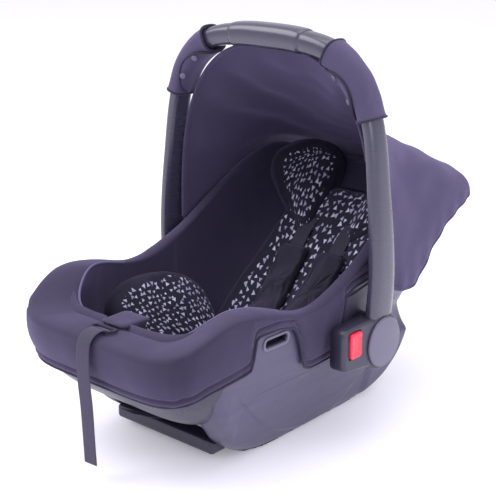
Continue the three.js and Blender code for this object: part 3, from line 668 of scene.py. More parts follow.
def open_up(thing, *boxes_mm):
    """Takes out the faces of a skin whose middle is in one of the boxes."""
    work = bmesh.new()
    work.from_mesh(thing.data)
    gone = []
    for low, high in boxes_mm:
        low, high = place_mm(low), place_mm(high)
        for face in work.faces:
            middle = face.calc_center_median()
            if all(a <= v <= b for a, v, b in zip(low, middle, high)):
                gone.append(face)
    bmesh.ops.delete(work, geom=list(set(gone)), context="FACES")
    work.to_mesh(thing.data)
    work.free()
    return thing


belt_slot = cutter("belt_slot", (-0.3, slot_y[0], 0.186), (0.3, slot_y[1], 0.196))
cut_away(shell_skin, belt_slot)
# The shell takes the dark hub plastic instead of its own: painted shade for the belly, which lies in shadow
# under the cover's hem.
belongs(shell_skin, "seat", hub_and_shade_finish, "shell_plastic", "seat_shell")
print("shell", len(shell_skin.data.polygons), "faces")

# %% [markdown]
# ## Flanks
# Each side of the base is a rocker panel. A pressed line sweeps down it, and its edge
# is well rounded. The inside is open, as the mould leaves it.

# %% Flanks


def quad_curve(a, b, c, count):
    t = np.linspace(0, 1, count, endpoint=False)[:, None]
    a, b, c = (np.asarray(p, float) for p in (a, b, c))
    return (1 - t) ** 2 * a + 2 * t * (1 - t) * b + t**2 * c


def straight(a, b, count):
    t = np.linspace(0, 1, count, endpoint=False)[:, None]
    return np.asarray(a, float) * (1 - t) + np.asarray(b, float) * t


def even_outline(points, count):
    """A closed outline, resampled evenly."""
    points = np.asarray(points, float)
    closed = np.concatenate([points, points[:1]])
    length = np.concatenate([[0.0], np.cumsum(np.linalg.norm(np.diff(closed, axis=0), axis=1))])
    at = np.linspace(0, length[-1], count, endpoint=False)
    return np.stack([np.interp(at, length, closed[:, k]) for k in range(points.shape[1])], axis=1)


rocker_line = np.concatenate([
    straight((-70, 0), (70, 0), 20),
    quad_curve((70, 0), (150, 0), (178, 28), 20),
    quad_curve((178, 28), (204, 52), (206, 90), 14),
    quad_curve((206, 90), (206, 150), (180, 190), 16),
    quad_curve((180, 190), (150, 222), (60, 216), 16),
    quad_curve((60, 216), (-40, 196), (-120, 206), 20),
    quad_curve((-120, 206), (-190, 222), (-214, 206), 14),
    straight((-214, 206), (-240, 125), 14),
    quad_curve((-240, 125), (-232, 92), (-205, 56), 12),
    quad_curve((-205, 56), (-176, 0), (-70, 0), 20),
])
rocker_line = even_outline(rocker_line, 360)
# The pressed line, read as a height at y. It runs down from the hub, along the runner and up again in front.
crease_line = graph([
    (-215, 138), (-195, 116), (-171, 91), (-130, 53), (-91, 27), (-35, 11),
    (16, 9), (48, 15), (69, 27), (84, 42), (106, 63), (130, 92),
])


def flank_x(y, z):
    """How far out the side panel is: a straight flare below, and just outside the bowl above."""
    flare = 124.0 + 0.27 * z
    bowl = wall_x(y, np.clip(z, 60, None), 0.0) + 1.6
    share = np.clip((z - 100) / 40, 0, 1)
    return flare + share * (np.minimum(bowl, 178.0) - flare) * (np.abs(z) > 100)


def flank(name, side, stands_for):
    spine = np.stack([np.clip(rocker_line[:, 0] * 0.8, -165, 130), np.full(len(rocker_line), 112.0)], axis=1)
    rows = []
    radius = 14.0
    length = np.linalg.norm(spine - rocker_line, axis=1)
    low_edge = np.clip((150 - rocker_line[:, 1]) / 40, 0, 1)
    for x_in in (96.0, 104.0, 114.0):
        start = x_in * low_edge + (flank_x(rocker_line[:, 0], rocker_line[:, 1]) - 8.0) * (1 - low_edge)
        rows.append(np.column_stack([start, rocker_line]))
    for f in np.concatenate([np.linspace(0, 0.14, 10), np.linspace(0.16, 1.0, 52)]):
        flat = rocker_line + (spine - rocker_line) * f
        depth = f * length
        short = np.clip(1 - depth / radius, 0, 1)
        x = flank_x(flat[:, 0], flat[:, 1]) - radius * (1 - np.sqrt(1 - short**2)) * low_edge
        gap = flat[:, 1] - crease_line(flat[:, 0])
        here = np.clip((flat[:, 0] + 215) / 30, 0, 1) * np.clip((125 - flat[:, 0]) / 14, 0, 1)
        here = here * np.clip((150 - flat[:, 1]) / 30, 0, 1)
        x += here * (1.7 * np.tanh(gap / 2.2) + 0.9 * np.exp(-((gap / 2.4) ** 2)) - 1.7)
        rows.append(np.column_stack([x, flat]))
    grid = np.stack(rows)
    grid[..., 0] *= side
    thing = grid_mesh(name, grid if side > 0 else grid[:, ::-1], around=True)
    outward(thing)
    open_up(thing, ((150 * side - 40, -166, 185), (150 * side + 40, -124, 197)))
    thicken(thing, 3.0, offset=-1.0)
    return belongs(thing, "seat", shell_finish, "shell_plastic", stands_for)


def wall_x(y, z, grow):
    """The bowl's half width at a place on its side."""
    y, z = np.broadcast_arrays(np.asarray(y, float), np.asarray(z, float))
    low = np.full(y.shape, 60.0)
    high = np.full(y.shape, RIM_HALF_WIDTH + grow)
    for _ in range(22):
        x = (low + high) / 2
        under = bowl_z(x, y, grow, shell_floor) < z
        low = np.where(under, x, low)
        high = np.where(under, high, x)
    return low


flanks = [flank("flank_left", 1, "rocker_left"), flank("flank_right", -1, "rocker_right")]
# The cross bars take the dark hub plastic: painted shade, as they lie in shadow under the seat between the
# rockers.
for piece in ("front_cross_bar", "rear_cross_bar"):
    soften_edges(nodes[piece], 2.0)
    belongs(nodes[piece], None, hub_and_shade_finish, "shell_plastic")
print("flanks", [len(f.data.polygons) for f in flanks])

# %% [markdown]
# ## Belt guides
# In the cover's window the shell has a slot for a car's lap belt, with a raised lip
# that keeps the belt flat.

# %% Belt guides


def rounded_loop(half_a, half_b, radius, count=96):
    """A rounded rectangle round the origin, as (a, b) points."""
    corner = np.linspace(0, math.pi / 2, 12)
    points = []
    for k, (ca, cb) in enumerate(((1, 1), (-1, 1), (-1, -1), (1, -1))):
        turn = corner + k * math.pi / 2
        points.append(np.column_stack([
            ca * (half_a - radius) + radius * np.cos(turn),
            cb * (half_b - radius) + radius * np.sin(turn),
        ]))
    return even_outline(np.concatenate(points), count)


for side, word in ((1, "left"), (-1, "right")):
    loop = rounded_loop(24.0, 8.0, 6.5)
    y = loop[:, 0] - 145.0
    z = loop[:, 1] + 191.0
    path = np.column_stack([side * (flank_x(y, z) + 0.4), y, z])
    lip = round_tube(f"belt_lip_{word}", path, 2.4, 12, closed=True, up=(float(side), 0.0, 0.0), flat=0.9)
    belongs(lip, "seat", cap_finish, "light_plastic", f"belt_guide_{word}")
print("belt guides done")

# %% [markdown]
# ## Cover
# One padded cover is pulled over the rim like a shower cap: a lining inside the bowl,
# a soft roll over the rim and a skirt outside, with a sewn hem. Its side is cut away
# for the belt guide and for the hub.

# %% Cover
HEM = [
    (-400, 133), (-330, 133), (-290, 143), (-262, 155), (-232, 160), (-204, 164), (-194, 168), (-190, 210),
    (-184, 214), (-124, 214), (-117, 211), (-106, 192), (-96, 165), (-88, 145), (-80, 133), (-66, 128),
    (-18, 128), (-9, 133), (-5, 146), (-3, 215), (0, 226), (88, 236), (96, 236), (150, 238), (200, 244),
    (260, 262), (330, 300), (400, 300),
]
hem_y, hem_z = np.array(HEM, float).T


def hem_at(y):
    return np.minimum(np.interp(y, hem_y, hem_z), rim_z(y) - 6.0)


COVER_TURN = np.linspace(0, 2 * math.pi, 460, endpoint=False) - math.pi / 2
SKIRT = 6.8
hem_s = find_rise(COVER_TURN, hem_at, SKIRT, shell_floor, SKIRT)
foot = np.clip(-np.sin(COVER_TURN), 0, 1) ** 2
# The foot lip is a wide soft panel: w is 1 across it and 0 along the sides.
lip_share = np.clip((-np.sin(COVER_TURN) - 0.3) / 0.6, 0, 1)
lip_share = lip_share**2 * (3 - 2 * lip_share)
LIP_WIDTH = 44.0
skirt_rows = []
for k in np.linspace(0, 1, 34) ** 0.9:
    skirt_rows.append(bowl_point(COVER_TURN, hem_s + (1 - hem_s) * k, SKIRT, shell_floor, 2.0))
skirt = np.stack(skirt_rows)
out_x, out_y = rim_point(COVER_TURN, SKIRT)
in_x, in_y = rim_point(COVER_TURN, LINING_IN - 3.0 - LIP_WIDTH * lip_share)
roll_rows = []
for turn in np.linspace(0, math.pi, 24)[1:-1]:
    share = (1 - math.cos(turn)) / 2
    rise = math.sin(turn) ** 0.7 * (7.0 + 0.5 * foot)
    roll_rows.append(np.column_stack([
        out_x + (in_x - out_x) * share,
        out_y + (in_y - out_y) * share,
        rim_z(out_y) + 2.0 + rise,
    ]))
lining_rows = []
for s in np.linspace(1.0, 0.05, 30):
    row = bowl_point(COVER_TURN, s, LINING_IN - (3.0 + LIP_WIDTH * lip_share) * s**7, seat_floor, 0.0)
    lining_rows.append(row)
lining_rows[0][:, 2] = rim_z(out_y) + 1.0
cover_grid = np.concatenate([skirt, np.stack(roll_rows), np.stack(lining_rows)])
skirt_count = len(skirt)
rows_all, columns_all = cover_grid.shape[:2]
above_hem = cover_grid[..., 2] - cover_grid[0][None, :, 2]
on_skirt = np.zeros((rows_all, columns_all))
on_skirt[:skirt_count] = 1.0
push = np.zeros((rows_all, columns_all))
# A band of hem, 10 mm deep, below its seam, and a padded panel above.
push += on_skirt * 1.3 * np.sin(np.clip(above_hem / 10.0, 0, 1) * math.pi)
push -= on_skirt * 1.9 * np.exp(-(((above_hem - 10.5) / 1.5) ** 2))
push += on_skirt * 2.6 * np.sin(np.clip((above_hem - 12) / 62.0, 0, 1) * math.pi) * (0.3 + 0.7 * foot[None])
# Seams down the corners of the foot end.
degrees = np.degrees(COVER_TURN) % 360
for seam_at in (312.0, 228.0):
    off = (degrees - seam_at)[None] * 3.2
    push -= (on_skirt + 0.0) * 1.8 * np.exp(-((off / 2.6) ** 2)) * (above_hem > 10)
    push += on_skirt * 1.2 * np.exp(-(((np.abs(off) - 9.0) / 5.0) ** 2))
# Slack in the cloth.
push += hills(cover_grid, 120.0, 3) * 1.1 + hills(cover_grid, 46.0, 4) * 0.35
push[0] = 0.0
normals = grid_normals(cover_grid, around=True)
outside = cover_grid[5] - np.array([0.0, 20.0, 150.0])
if np.mean(np.sum(normals[5] * outside, axis=-1)) < 0:
    normals = -normals
cover_grid = cover_grid + normals * push[..., None]
cover = grid_mesh("cover", cover_grid, around=True)
open_up(
    cover,
    ((19, 198, 20), (65, 212, 420)),
    ((-65, 198, 20), (-19, 212, 420)),
    ((-23, -75, 20), (23, -61, 300)),
    ((-17, -300, 150), (17, -283, 230)),
    ((-21, -278, 186), (21, -234, 230)),
)
thicken(cover, 2.4, offset=-1.0)
belongs(cover, "seat", cover_finish, "cover_fabric", "seat_cover")
hem_path = cover_grid[0] + normals[0] * 0.6
cover_hem = round_tube("cover_hem", hem_path, 2.0, 10, closed=True)
belongs(cover_hem, "seat", binding_finish, "cover_fabric")
# The light piping where the lip's top meets the lining.
lip_row = skirt_count + len(roll_rows) - 2
start = int(np.argmax(np.sin(COVER_TURN) > -0.35))
piping_path = np.roll(cover_grid[lip_row], start, axis=0)[: 2 * start - 1]
for side, word in ((1, "left"), (-1, "right")):
    beside = piping_path[piping_path[:, 0] * side > 32.0] + np.array([0.0, 0.0, 1.0])
    lip_piping = round_tube(f"lip_piping_{word}", beside, 1.7, 10)
    belongs(lip_piping, "seat", piping_finish, "cover_fabric")
print("cover", len(cover.data.polygons), "faces")

# %% [markdown]
# ## Padded inserts
# The newborn insert, the two thigh bolsters and the head pillow are quilted shapes with
# a plain bound border and printed jersey inside it. Each is cut flat, closed all round and
# blown up a little by cloth simulation, so that it wrinkles where it's held.

# %% Pads


def pad_mesh(name, outline, lay, thick, border, edge_reach=16.0, count=150, rings=22, crown=0.0, seed=1):
    """A closed pad. outline is in flat mm, and lay(a, b) gives the surface it rests on."""
    outline = even_outline(outline, count)
    middle = outline.mean(axis=0)
    length = np.linalg.norm(middle - outline, axis=1)
    fractions = 1 - (1 - np.linspace(0, 1, rings)) ** 1.35
    fractions[-1] = 0.985
    flat = np.stack([outline + (middle - outline) * f for f in fractions])
    inset = np.stack([length * f for f in fractions])
    base = lay(flat[..., 0], flat[..., 1])
    step = 1.0
    slope_a = lay(flat[..., 0] + step, flat[..., 1]) - lay(flat[..., 0] - step, flat[..., 1])
    slope_b = lay(flat[..., 0], flat[..., 1] + step) - lay(flat[..., 0], flat[..., 1] - step)
    normal = unit(np.cross(slope_a, slope_b))
    toward = np.array([0.0, 20.0, 300.0]) - base
    normal *= np.sign(np.sum(normal * toward, axis=-1, keepdims=True))
    short = np.clip(1 - inset / edge_reach, 0, 1)
    height = thick * (1 - short**2.2) ** 0.5 + crown * np.clip(inset / length.max(), 0, 1) ** 0.7
    if border > 0:
        height = height - 2.2 * np.exp(-(((inset - border) / 2.0) ** 2))
    height = np.maximum(height + hills(base, 60.0, seed) * 0.8, 0.6)
    height[0] = 0.6
    top = base + normal * height[..., None]
    bottom = base - normal * 0.4
    points = np.concatenate([top.reshape(-1, 3), bottom[1:].reshape(-1, 3)])
    faces = []
    uvs = []
    finishes = []

    def index(side, r, c):
        c %= count
        if side == 0 or r == 0:
            return r * count + c
        return rings * count + (r - 1) * count + c

    for side in (0, 1):
        for r in range(rings - 1):
            for c in range(count):
                ring = [(r, c), (r, c + 1), (r + 1, c + 1), (r + 1, c)]
                if side:
                    ring = ring[::-1]
                faces.append(tuple(index(side, a, b) for a, b in ring))
                uvs.extend(flat[a, b % count] / 1000.0 for a, b in ring)
                near_edge = inset[r : r + 2, c].mean() < border
                finishes.append(1 if near_edge or side else 0)
        ring = [(rings - 1, c) for c in range(count)]
        if side:
            ring = ring[::-1]
        faces.append(tuple(index(side, a, b) for a, b in ring))
        uvs.extend(flat[a, b] / 1000.0 for a, b in ring)
        finishes.append(side)
    thing = make_mesh(name, points, faces, uvs, finishes)
    held = thing.vertex_groups.new(name="held")
    held.add(list(range(rings * count, len(points))), 1.0, "REPLACE")
    held.add(list(range(count)), 1.0, "REPLACE")
    outward(thing)
    return thing


def swell(thing, cap_mm=8.0, pressure=3.5, slack=-0.03):
    """Blows a pad up under cloth simulation, keeps its underside, and caps how far any point goes."""
    scene = bpy.context.scene
    started = np.array([v.co[:] for v in thing.data.vertices])
    sim = thing.modifiers.new("swell", "CLOTH")
    sim.settings.quality = 5
    sim.settings.mass = 0.25
    sim.settings.tension_stiffness = 12.0
    sim.settings.compression_stiffness = 12.0
    sim.settings.bending_stiffness = 0.25
    sim.settings.use_pressure = True
    sim.settings.uniform_pressure_force = pressure
    sim.settings.shrink_min = slack
    sim.settings.vertex_group_mass = "held"
    sim.settings.pin_stiffness = 1.0
    sim.settings.effector_weights.gravity = 0.0
    sim.collision_settings.use_collision = False
    sim.point_cache.frame_start = 1
    sim.point_cache.frame_end = 20
    for moment in range(1, 21):
        scene.frame_set(moment)
    depsgraph = bpy.context.evaluated_depsgraph_get()
    moved = np.array([v.co[:] for v in thing.evaluated_get(depsgraph).data.vertices])
    thing.modifiers.clear()
    scene.frame_set(1)
    shift = moved - started
    length = np.linalg.norm(shift, axis=1, keepdims=True)
    shift *= np.minimum(1.0, cap_mm / 1000.0 / np.maximum(length, 1e-9))
    thing.data.vertices.foreach_set("co", (started + shift).ravel())
    thing.data.update()
    print("  swelled", thing.name, "by up to", round(float(length.max() * 1000), 1), "mm")
    return thing


def shape(points, count=40):
    """A smooth closed outline through a few points."""
    points = np.column_stack([np.asarray(points, float), np.zeros(len(points))])
    return smooth_path(points, count * 4, closed=True)[:, :2]


def on_seat(inset):
    """The seat surface, as (x, y)."""

    def lay(a, b):
        return np.stack([a, b, bowl_z(a, b, LINING_IN - inset, seat_floor)], axis=-1)

    return lay


WALL_GROW = LINING_IN - 1.2
wall_turn = np.linspace(math.pi / 2, -math.pi / 2 + 0.2, 600)
wall_plan = np.column_stack(rim_point(wall_turn, WALL_GROW))
wall_length = np.concatenate([[0.0], np.cumsum(np.linalg.norm(np.diff(wall_plan, axis=0), axis=1))])
wall_y = wall_plan[:, 1]


def along_wall(y):
    """How far round the wall, from the middle of the head end, a place y is on the long side."""
    return float(np.interp(-y, -wall_y, wall_length))


def on_wall(side):
    """The bowl's inner wall, as (distance round it from the head end, height)."""

    def lay(a, b):
        turn = np.interp(a, wall_length, wall_turn)
        s = find_rise(turn, b, WALL_GROW, seat_floor, 0.0)
        point = bowl_point(turn, s, WALL_GROW, seat_floor, 0.0)
        over = np.clip(b - point[..., 2], 0, 60)
        point[..., 2] += over
        point[..., 0] *= side
        return point

    return lay


insert_outline = shape([
    (-96, -112), (0, -118), (96, -112), (114, -80), (108, 0), (112, 90), (104, 180), (92, 240),
    (50, 262), (0, 266), (-50, 262), (-92, 240), (-104, 180), (-112, 90), (-108, 0), (-114, -80),
])
body_insert = pad_mesh(
    "body_insert_pad", insert_outline, on_seat(2.0), 12.0, 12.0, 18.0, 180, 30, crown=4.0, seed=5
)
swell(body_insert, 5.0, 2.5)
belongs(body_insert, "seat", [print_finish, binding_finish], "printed_jersey", "body_insert")
print("insert", len(body_insert.data.polygons))

# %% [markdown]
# The bolsters and the lobes of the pillow lie on the side walls.
# There is one of each on either side, and each is a fat pad with a dark border.

# %% Thigh bolsters and head pillow
mid_thigh = along_wall(-72.0)
bolster_outline = shape([
    (mid_thigh - 112, 96), (mid_thigh - 104, 140), (mid_thigh - 72, 172), (mid_thigh - 10, 190),
    (mid_thigh + 52, 188), (mid_thigh + 92, 166), (mid_thigh + 108, 128), (mid_thigh + 96, 90),
    (mid_thigh + 40, 70), (mid_thigh - 50, 68),
])
lobe_outline = shape([
    (58, 214), (84, 206), (124, 226), (168, 262), (190, 300), (182, 330), (150, 346), (104, 350),
    (66, 336), (46, 300), (44, 252),
])
for side, word in ((1, "left"), (-1, "right")):
    bolster = pad_mesh(
        f"thigh_pad_{word}", bolster_outline, on_wall(side), 25.0, 10.0, 26.0, 140, 22,
        crown=8.0, seed=11 + side,
    )
    swell(bolster, 9.0)
    belongs(bolster, "seat", [print_finish, binding_finish], "printed_jersey", f"thigh_bolster_{word}")
    lobe = pad_mesh(
        f"head_lobe_{word}", lobe_outline, on_wall(side), 27.0, 13.0, 28.0, 140, 22, crown=9.0, seed=21 + side
    )
    swell(lobe, 10.0)
    belongs(lobe, "seat", [print_finish, binding_finish], "printed_jersey", "head_pillow")
print("bolsters and pillow done")

# %% [markdown]
# ## Harness
# Grey polyester webbing, 38 mm wide, threads through the insert. Two dark sleeves pad it
# at the shoulders, and the buckle sits between the thighs.

# %% Harness routes
SLOT_Y = 205.0
BUCKLE_Y = -52.0


def seat_at(x, y, up):
    """A place that far above the seat's padding."""
    return (x, y, float(bowl_z(x, y, LINING_IN - OVER_LINER, seat_floor)) + up)


buckle_z = seat_at(0, BUCKLE_Y, 34)[2]
yoke_z = float(bowl_z(0, SLOT_Y, 0, shell_floor)) - 14


def strap_frame(path, lift):
    """Lays flat pieces along a strap, as (distance along it, across it)."""
    length = np.concatenate([[0.0], np.cumsum(np.linalg.norm(np.diff(path, axis=0), axis=1))])
    along = directions(path)
    side = unit(np.array([1.0, 0, 0]) - along[:, :1] * along)
    up = np.cross(along, side)
    up *= np.sign(up[len(up) // 2, 2])

    def lay(a, b):
        at = np.clip(a, 0, length[-1])

        def read(values):
            return np.stack([np.interp(at, length, values[:, k]) for k in range(3)], axis=-1)

        return read(path) + unit(read(side)) * b[..., None] + unit(read(up)) * lift

    return lay, length[-1]


for side, word in ((1, "left"), (-1, "right")):
    x = side * 42.0
    route = [
        (side * 38, SLOT_Y - 2, yoke_z + 5),
        (x, SLOT_Y, yoke_z + 24),
        (x, SLOT_Y, yoke_z + 60),
        seat_at(x, SLOT_Y, 2),
        seat_at(side * 40, SLOT_Y - 22, 16),
        seat_at(side * 36, 120, 17),
        seat_at(side * 28, 50, 22),
        (side * 18, BUCKLE_Y + 46, buckle_z + 24),
        (side * 15, BUCKLE_Y + 27, buckle_z + 14),
    ]
    path = smooth_path(route, 150)
    strap = webbing_band(f"shoulder_webbing_{word}", path, 26.6, 1.8)
    belongs(strap, "seat", webbing_finish, "webbing", f"shoulder_strap_{word}")
    lay, total = strap_frame(path, 1.6)
    outline = rounded_loop(total * 0.16, 26.0, 11.0, 140) + np.array([total * 0.685, 0.0])
    pad = pad_mesh(
        f"shoulder_cushion_{word}", outline, lay, 8.0, 5.0, 9.0, 140, 14, crown=1.5, seed=31 + side
    )
    swell(pad, 4.0, 3.0)
    belongs(pad, "seat", [pad_finish, binding_finish], "pad_fabric", f"shoulder_pad_{word}")
    lap = smooth_path([
        (side * 30.5, BUCKLE_Y + 24, buckle_z + 6),
        seat_at(side * 50, BUCKLE_Y + 22, 10),
        seat_at(side * 78, BUCKLE_Y + 26, 7),
        seat_at(side * 92, BUCKLE_Y + 30, 5),
    ], 60)
    lap_strap = webbing_band(f"lap_webbing_{word}", lap, 26.6, 1.8, across=(0.0, 1.0, 0.0))
    belongs(lap_strap, "seat", webbing_finish, "webbing", f"lap_strap_{word}")
crotch = smooth_path([
    (0, -68, 33.4),
    (0, -68, seat_at(0, -68, OVER_LINER)[2] + 4),
    (0, BUCKLE_Y - 4, buckle_z - 23),
], 50)
belongs(webbing_band("crotch_webbing", crotch, 38.0, 1.8), "seat", webbing_finish, "webbing", "crotch_strap")
under = [(0, SLOT_Y - 32, yoke_z - 6)]
for y in range(140, -286, -40):
    under.append((0, y, float(bowl_z(0, y, 0, shell_floor)) - 11.5))
under_band = webbing_band("under_webbing", smooth_path(under, 120), 26.6, 1.8)
belongs(under_band, "seat", webbing_finish, "webbing", "adjuster_belt")
for piece, finish, slot, edge in (
    ("buckle", hub_and_shade_finish, "shell_plastic", 1.6),
    ("buckle_button", red_finish, "red_plastic", 1.0),
    ("buckle_tongue_left", cap_finish, "light_plastic", 0.8),
    ("buckle_tongue_right", cap_finish, "light_plastic", 0.8),
    ("adjuster_frame", hub_and_shade_finish, "light_plastic", 0.8),
    ("adjuster_lever", hub_and_shade_finish, "light_plastic", 0.8),
    ("adjuster_pin", steel_finish, "steel", 0.3),
    ("adjuster_bracket", steel_finish, "steel", 0.4),
    ("strap_yoke", steel_finish, "steel", 0.5),
    ("crotch_anchor_bar", steel_finish, "steel", 0.4),
    ("foam_liner", foam_finish, "foam", 1.5),
    ("pivot_boss_left", hub_and_shade_finish, "shell_plastic", 1.2),
    ("pivot_boss_right", hub_and_shade_finish, "shell_plastic", 1.2),
    ("pivot_pin_left", steel_finish, "steel", 0.6),
    ("pivot_pin_right", steel_finish, "steel", 0.6),
    ("lock_ring_left", steel_finish, "steel", 0.4),
    ("lock_ring_right", steel_finish, "steel", 0.4),
    ("button_spring_left", steel_finish, "steel", 0.2),
    ("button_spring_right", steel_finish, "steel", 0.2),
):
    soften_edges(nodes[piece], edge)
    belongs(nodes[piece], None, finish, slot)
print("harness done")

# %% [markdown]
# ## The adjuster's strap
# The tail comes out of a bound slot in the foot lip, lies over the lip and hangs free
# down the front to just above the floor. Pulling it tightens the harness.

# %% Adjuster strap
tail_points = [
    (0, -283, 200), (0, -294, 207), (0, -308, 211.5), (0, -321, 209.6), (0, -330.4, 201), (0.6, -334.2, 186),
    (1.6, -335.6, 150), (3.2, -334, 110), (5.2, -334.2, 70), (7.4, -334.6, 27),
]
tail = smooth_path(tail_points, 90)
tail_strap = webbing_band("tail_webbing", tail, 25.0, 1.6, ripple=0.5)
belongs(tail_strap, "seat", webbing_finish, "webbing", "adjuster_strap")
flap_line = rounded_loop(25.0, 25.0, 8.0, 120) + np.array([0.0, -256.0])


def over_lever(a, b):
    """Places the flap over the lever, falling a little to both sides."""
    return np.stack([a, b, 208.9 - 0.0009 * (b + 262) ** 2 + 0.0 * a], axis=-1)


adjuster_flap = pad_mesh(
    "adjuster_flap", flap_line, over_lever, 3.4, 0.0, 10.0, 120, 14, crown=1.0, seed=51,
)
belongs(adjuster_flap, None, [cover_finish, binding_finish], "cover_fabric")
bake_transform(adjuster_flap)
loop = rounded_loop(19.0, 7.5, 5.0, 80)
slot_path = np.column_stack([loop[:, 0], loop[:, 1] - 297.0, 209.0 - 0.15 * loop[:, 1]])
slot_binding = round_tube("slot_binding", slot_path, 2.2, 10, closed=True)
belongs(slot_binding, "seat", binding_finish, "cover_fabric")

# %% [markdown]
# ## Handle
# The carrying handle is one smooth moulding, fuller at the grip. Its legs widen towards
# the hubs, which hold a sprung red button each.

# %% Handle arch
LEG_X = 206.0
arch_points = [
    (-LEG_X + 5, 44, 165), (-LEG_X, 44, 237), (-LEG_X + 8, 44, 350), (-181, 44, 461), (-154, 44, 514),
    (-112, 44, 545), (-58, 44, 556), (0, 44, 558), (58, 44, 556), (112, 44, 545), (154, 44, 514),
    (181, 44, 461), (LEG_X - 8, 44, 350), (LEG_X, 44, 237), (LEG_X - 5, 44, 165),
]
ARCH_COUNT = 353
arch = smooth_path(arch_points, ARCH_COUNT)
arch_along = directions(arch)
arch_out = np.column_stack([-arch_along[:, 2], np.zeros(ARCH_COUNT), arch_along[:, 0]])
from_top = np.abs(np.linspace(0, 1, ARCH_COUNT) - 0.5)
half_thick = graph([(0, 16.5), (0.13, 15), (0.22, 10.5), (0.5, 10.5)])(from_top)
half_depth = graph([(0, 19), (0.14, 19), (0.24, 20), (0.36, 24), (0.5, 27)])(from_top)


def arch_rows(first, last, grow, sides=48, ruffle=0.0, seed=0):
    """Rings round the handle between two shares of its length."""
    rows = np.arange(int(first * (ARCH_COUNT - 1)), int(last * (ARCH_COUNT - 1)) + 1)
    turn = np.linspace(0, 2 * math.pi, sides, endpoint=False)
    c = np.sign(np.cos(turn)) * np.abs(np.cos(turn)) ** (2 / 2.7)
    s = np.sign(np.sin(turn)) * np.abs(np.sin(turn)) ** (2 / 2.7)
    grow = np.broadcast_to(np.asarray(grow, float), (len(rows),))
    grid = (
        arch[rows][:, None]
        + arch_out[rows][:, None] * (c[None] * (half_thick[rows] + grow)[:, None])[..., None]
        + np.array([0.0, 1.0, 0.0]) * (s[None] * (half_depth[rows] + grow)[:, None])[..., None]
    )
    if ruffle:
        centre = arch[rows][:, None]
        grid = grid + unit(grid - centre) * (ruffle * (1 + hills(grid, 42.0, seed)))[..., None]
    return grid


handle_body = outward(grid_mesh("handle_body", arch_rows(0, 1, 0.0), around=True, ends=True))
belongs(handle_body, "handle", handle_finish, "shell_plastic", "handle_arch")
grip_rows = arch_rows(20 / 46, 26 / 46, 0.0)
grip_share = np.linspace(0, 1, len(grip_rows))
grip_grow = 1.9 * np.clip(np.sin(grip_share * math.pi) * 9, 0, 1) ** 0.5
grip = outward(grid_mesh("grip_skin", arch_rows(20 / 46, 26 / 46, grip_grow), around=True, ends=True))
belongs(grip, "handle", handle_finish, "light_plastic", "handle_grip")
print("handle", len(handle_body.data.polygons))

# %% [markdown]
# Each hub is a rounded plate at the foot of the handle, with a round cap outside
# and a red button in its forward ear.

# %% Hubs, caps and buttons


def plate(name, outline, x0, x1, round_mm, side, dome=0.0):
    """An outline in (y, z), drawn out along X between x0 and x1, with a rounded outer edge."""
    outline = np.asarray(outline, float)
    centre = outline.mean(axis=0)
    length = np.linalg.norm(outline - centre, axis=1, keepdims=True)
    away = (outline - centre) / length
    rows = [np.column_stack([np.full(len(outline), x0), outline])]
    for turn in np.linspace(0, math.pi / 2, 8):
        inset = round_mm * (1 - math.cos(turn))
        x = x1 - round_mm + round_mm * math.sin(turn)
        rows.append(np.column_stack([np.full(len(outline), x), outline - away * inset]))
    for f in np.linspace(0.08, 0.97, 14):
        flat = (outline - away * round_mm) * (1 - f) + centre * f
        rows.append(np.column_stack([np.full(len(outline), x1) + dome * (1 - (1 - f) ** 2), flat]))
    grid = np.stack(rows)
    grid[..., 0] *= side
    return outward(grid_mesh(name, grid, around=True, ends=True))


circle = np.linspace(0, 2 * math.pi, 160, endpoint=False)
hub_line = np.concatenate([
    np.column_stack([44 + 43 * np.cos(t), 143 + 43 * np.sin(t)])
    for t in [np.linspace(-2.35, 2.0, 90)]
] + [
    quad_curve((26, 182), (-4, 186), (-36, 183), 12),
    quad_curve((-36, 183), (-48, 183), (-48, 171), 10),
    straight((-48, 171), (-48, 133), 10),
    quad_curve((-48, 133), (-48, 120), (-34, 119), 10),
    quad_curve((-34, 119), (-8, 116), (14, 112), 12),
])
hub_line = even_outline(hub_line, 200)
for side, word in ((1, "left"), (-1, "right")):
    hub = plate(f"hub_body_{word}", hub_line, 188.0, 212.6, 6.0, side)
    pocket = cutter(
        "pocket",
        np.minimum(place_mm((side * 200.0, -37.2, 138.2)), place_mm((side * 230.0, -10.8, 177.8))),
        np.maximum(place_mm((side * 200.0, -37.2, 138.2)), place_mm((side * 230.0, -10.8, 177.8))),
    )
    cut_away(hub, pocket)
    belongs(hub, "handle", hub_and_shade_finish, "shell_plastic", f"hub_{word}")
    cap_line = np.column_stack([44 + 37 * np.cos(circle), 143 + 37 * np.sin(circle)])
    cap = plate(f"hub_disc_{word}", cap_line, 212.9, 217.2, 3.0, side, dome=2.6)
    belongs(cap, "handle", cap_finish, "light_plastic", f"hub_cap_{word}")
    key = rounded_loop(12.5, 19.0, 5.0, 120) + np.array([-24.0, 158.0])
    button = plate(f"push_button_{word}", key, 200.5, 217.0, 2.6, side, dome=-1.2)
    belongs(button, f"release_button_{word}", red_finish, "red_plastic", f"release_button_{word}")
print("hubs done")

# %% [markdown]
# ## Canopy
# The hood is one cut of taut polyester. A sleeve at each side buttons round the handle,
# the front edge is bound, and elastic gathers the hem on the back of the shell.

# %% Canopy
CANOPY_HALF = 185.0
FRONT_Y = 48.0
REAR_Y = 331.0
CROWN_Z = 535.0
REAR_TOP_Z = 336.0
canopy_hem = graph([
    (48, 252), (100, 204), (150, 190), (175, 202),
    (205, 232), (240, 263), (270, 280), (331, 300),
])
REAR_ROUND = 16.0


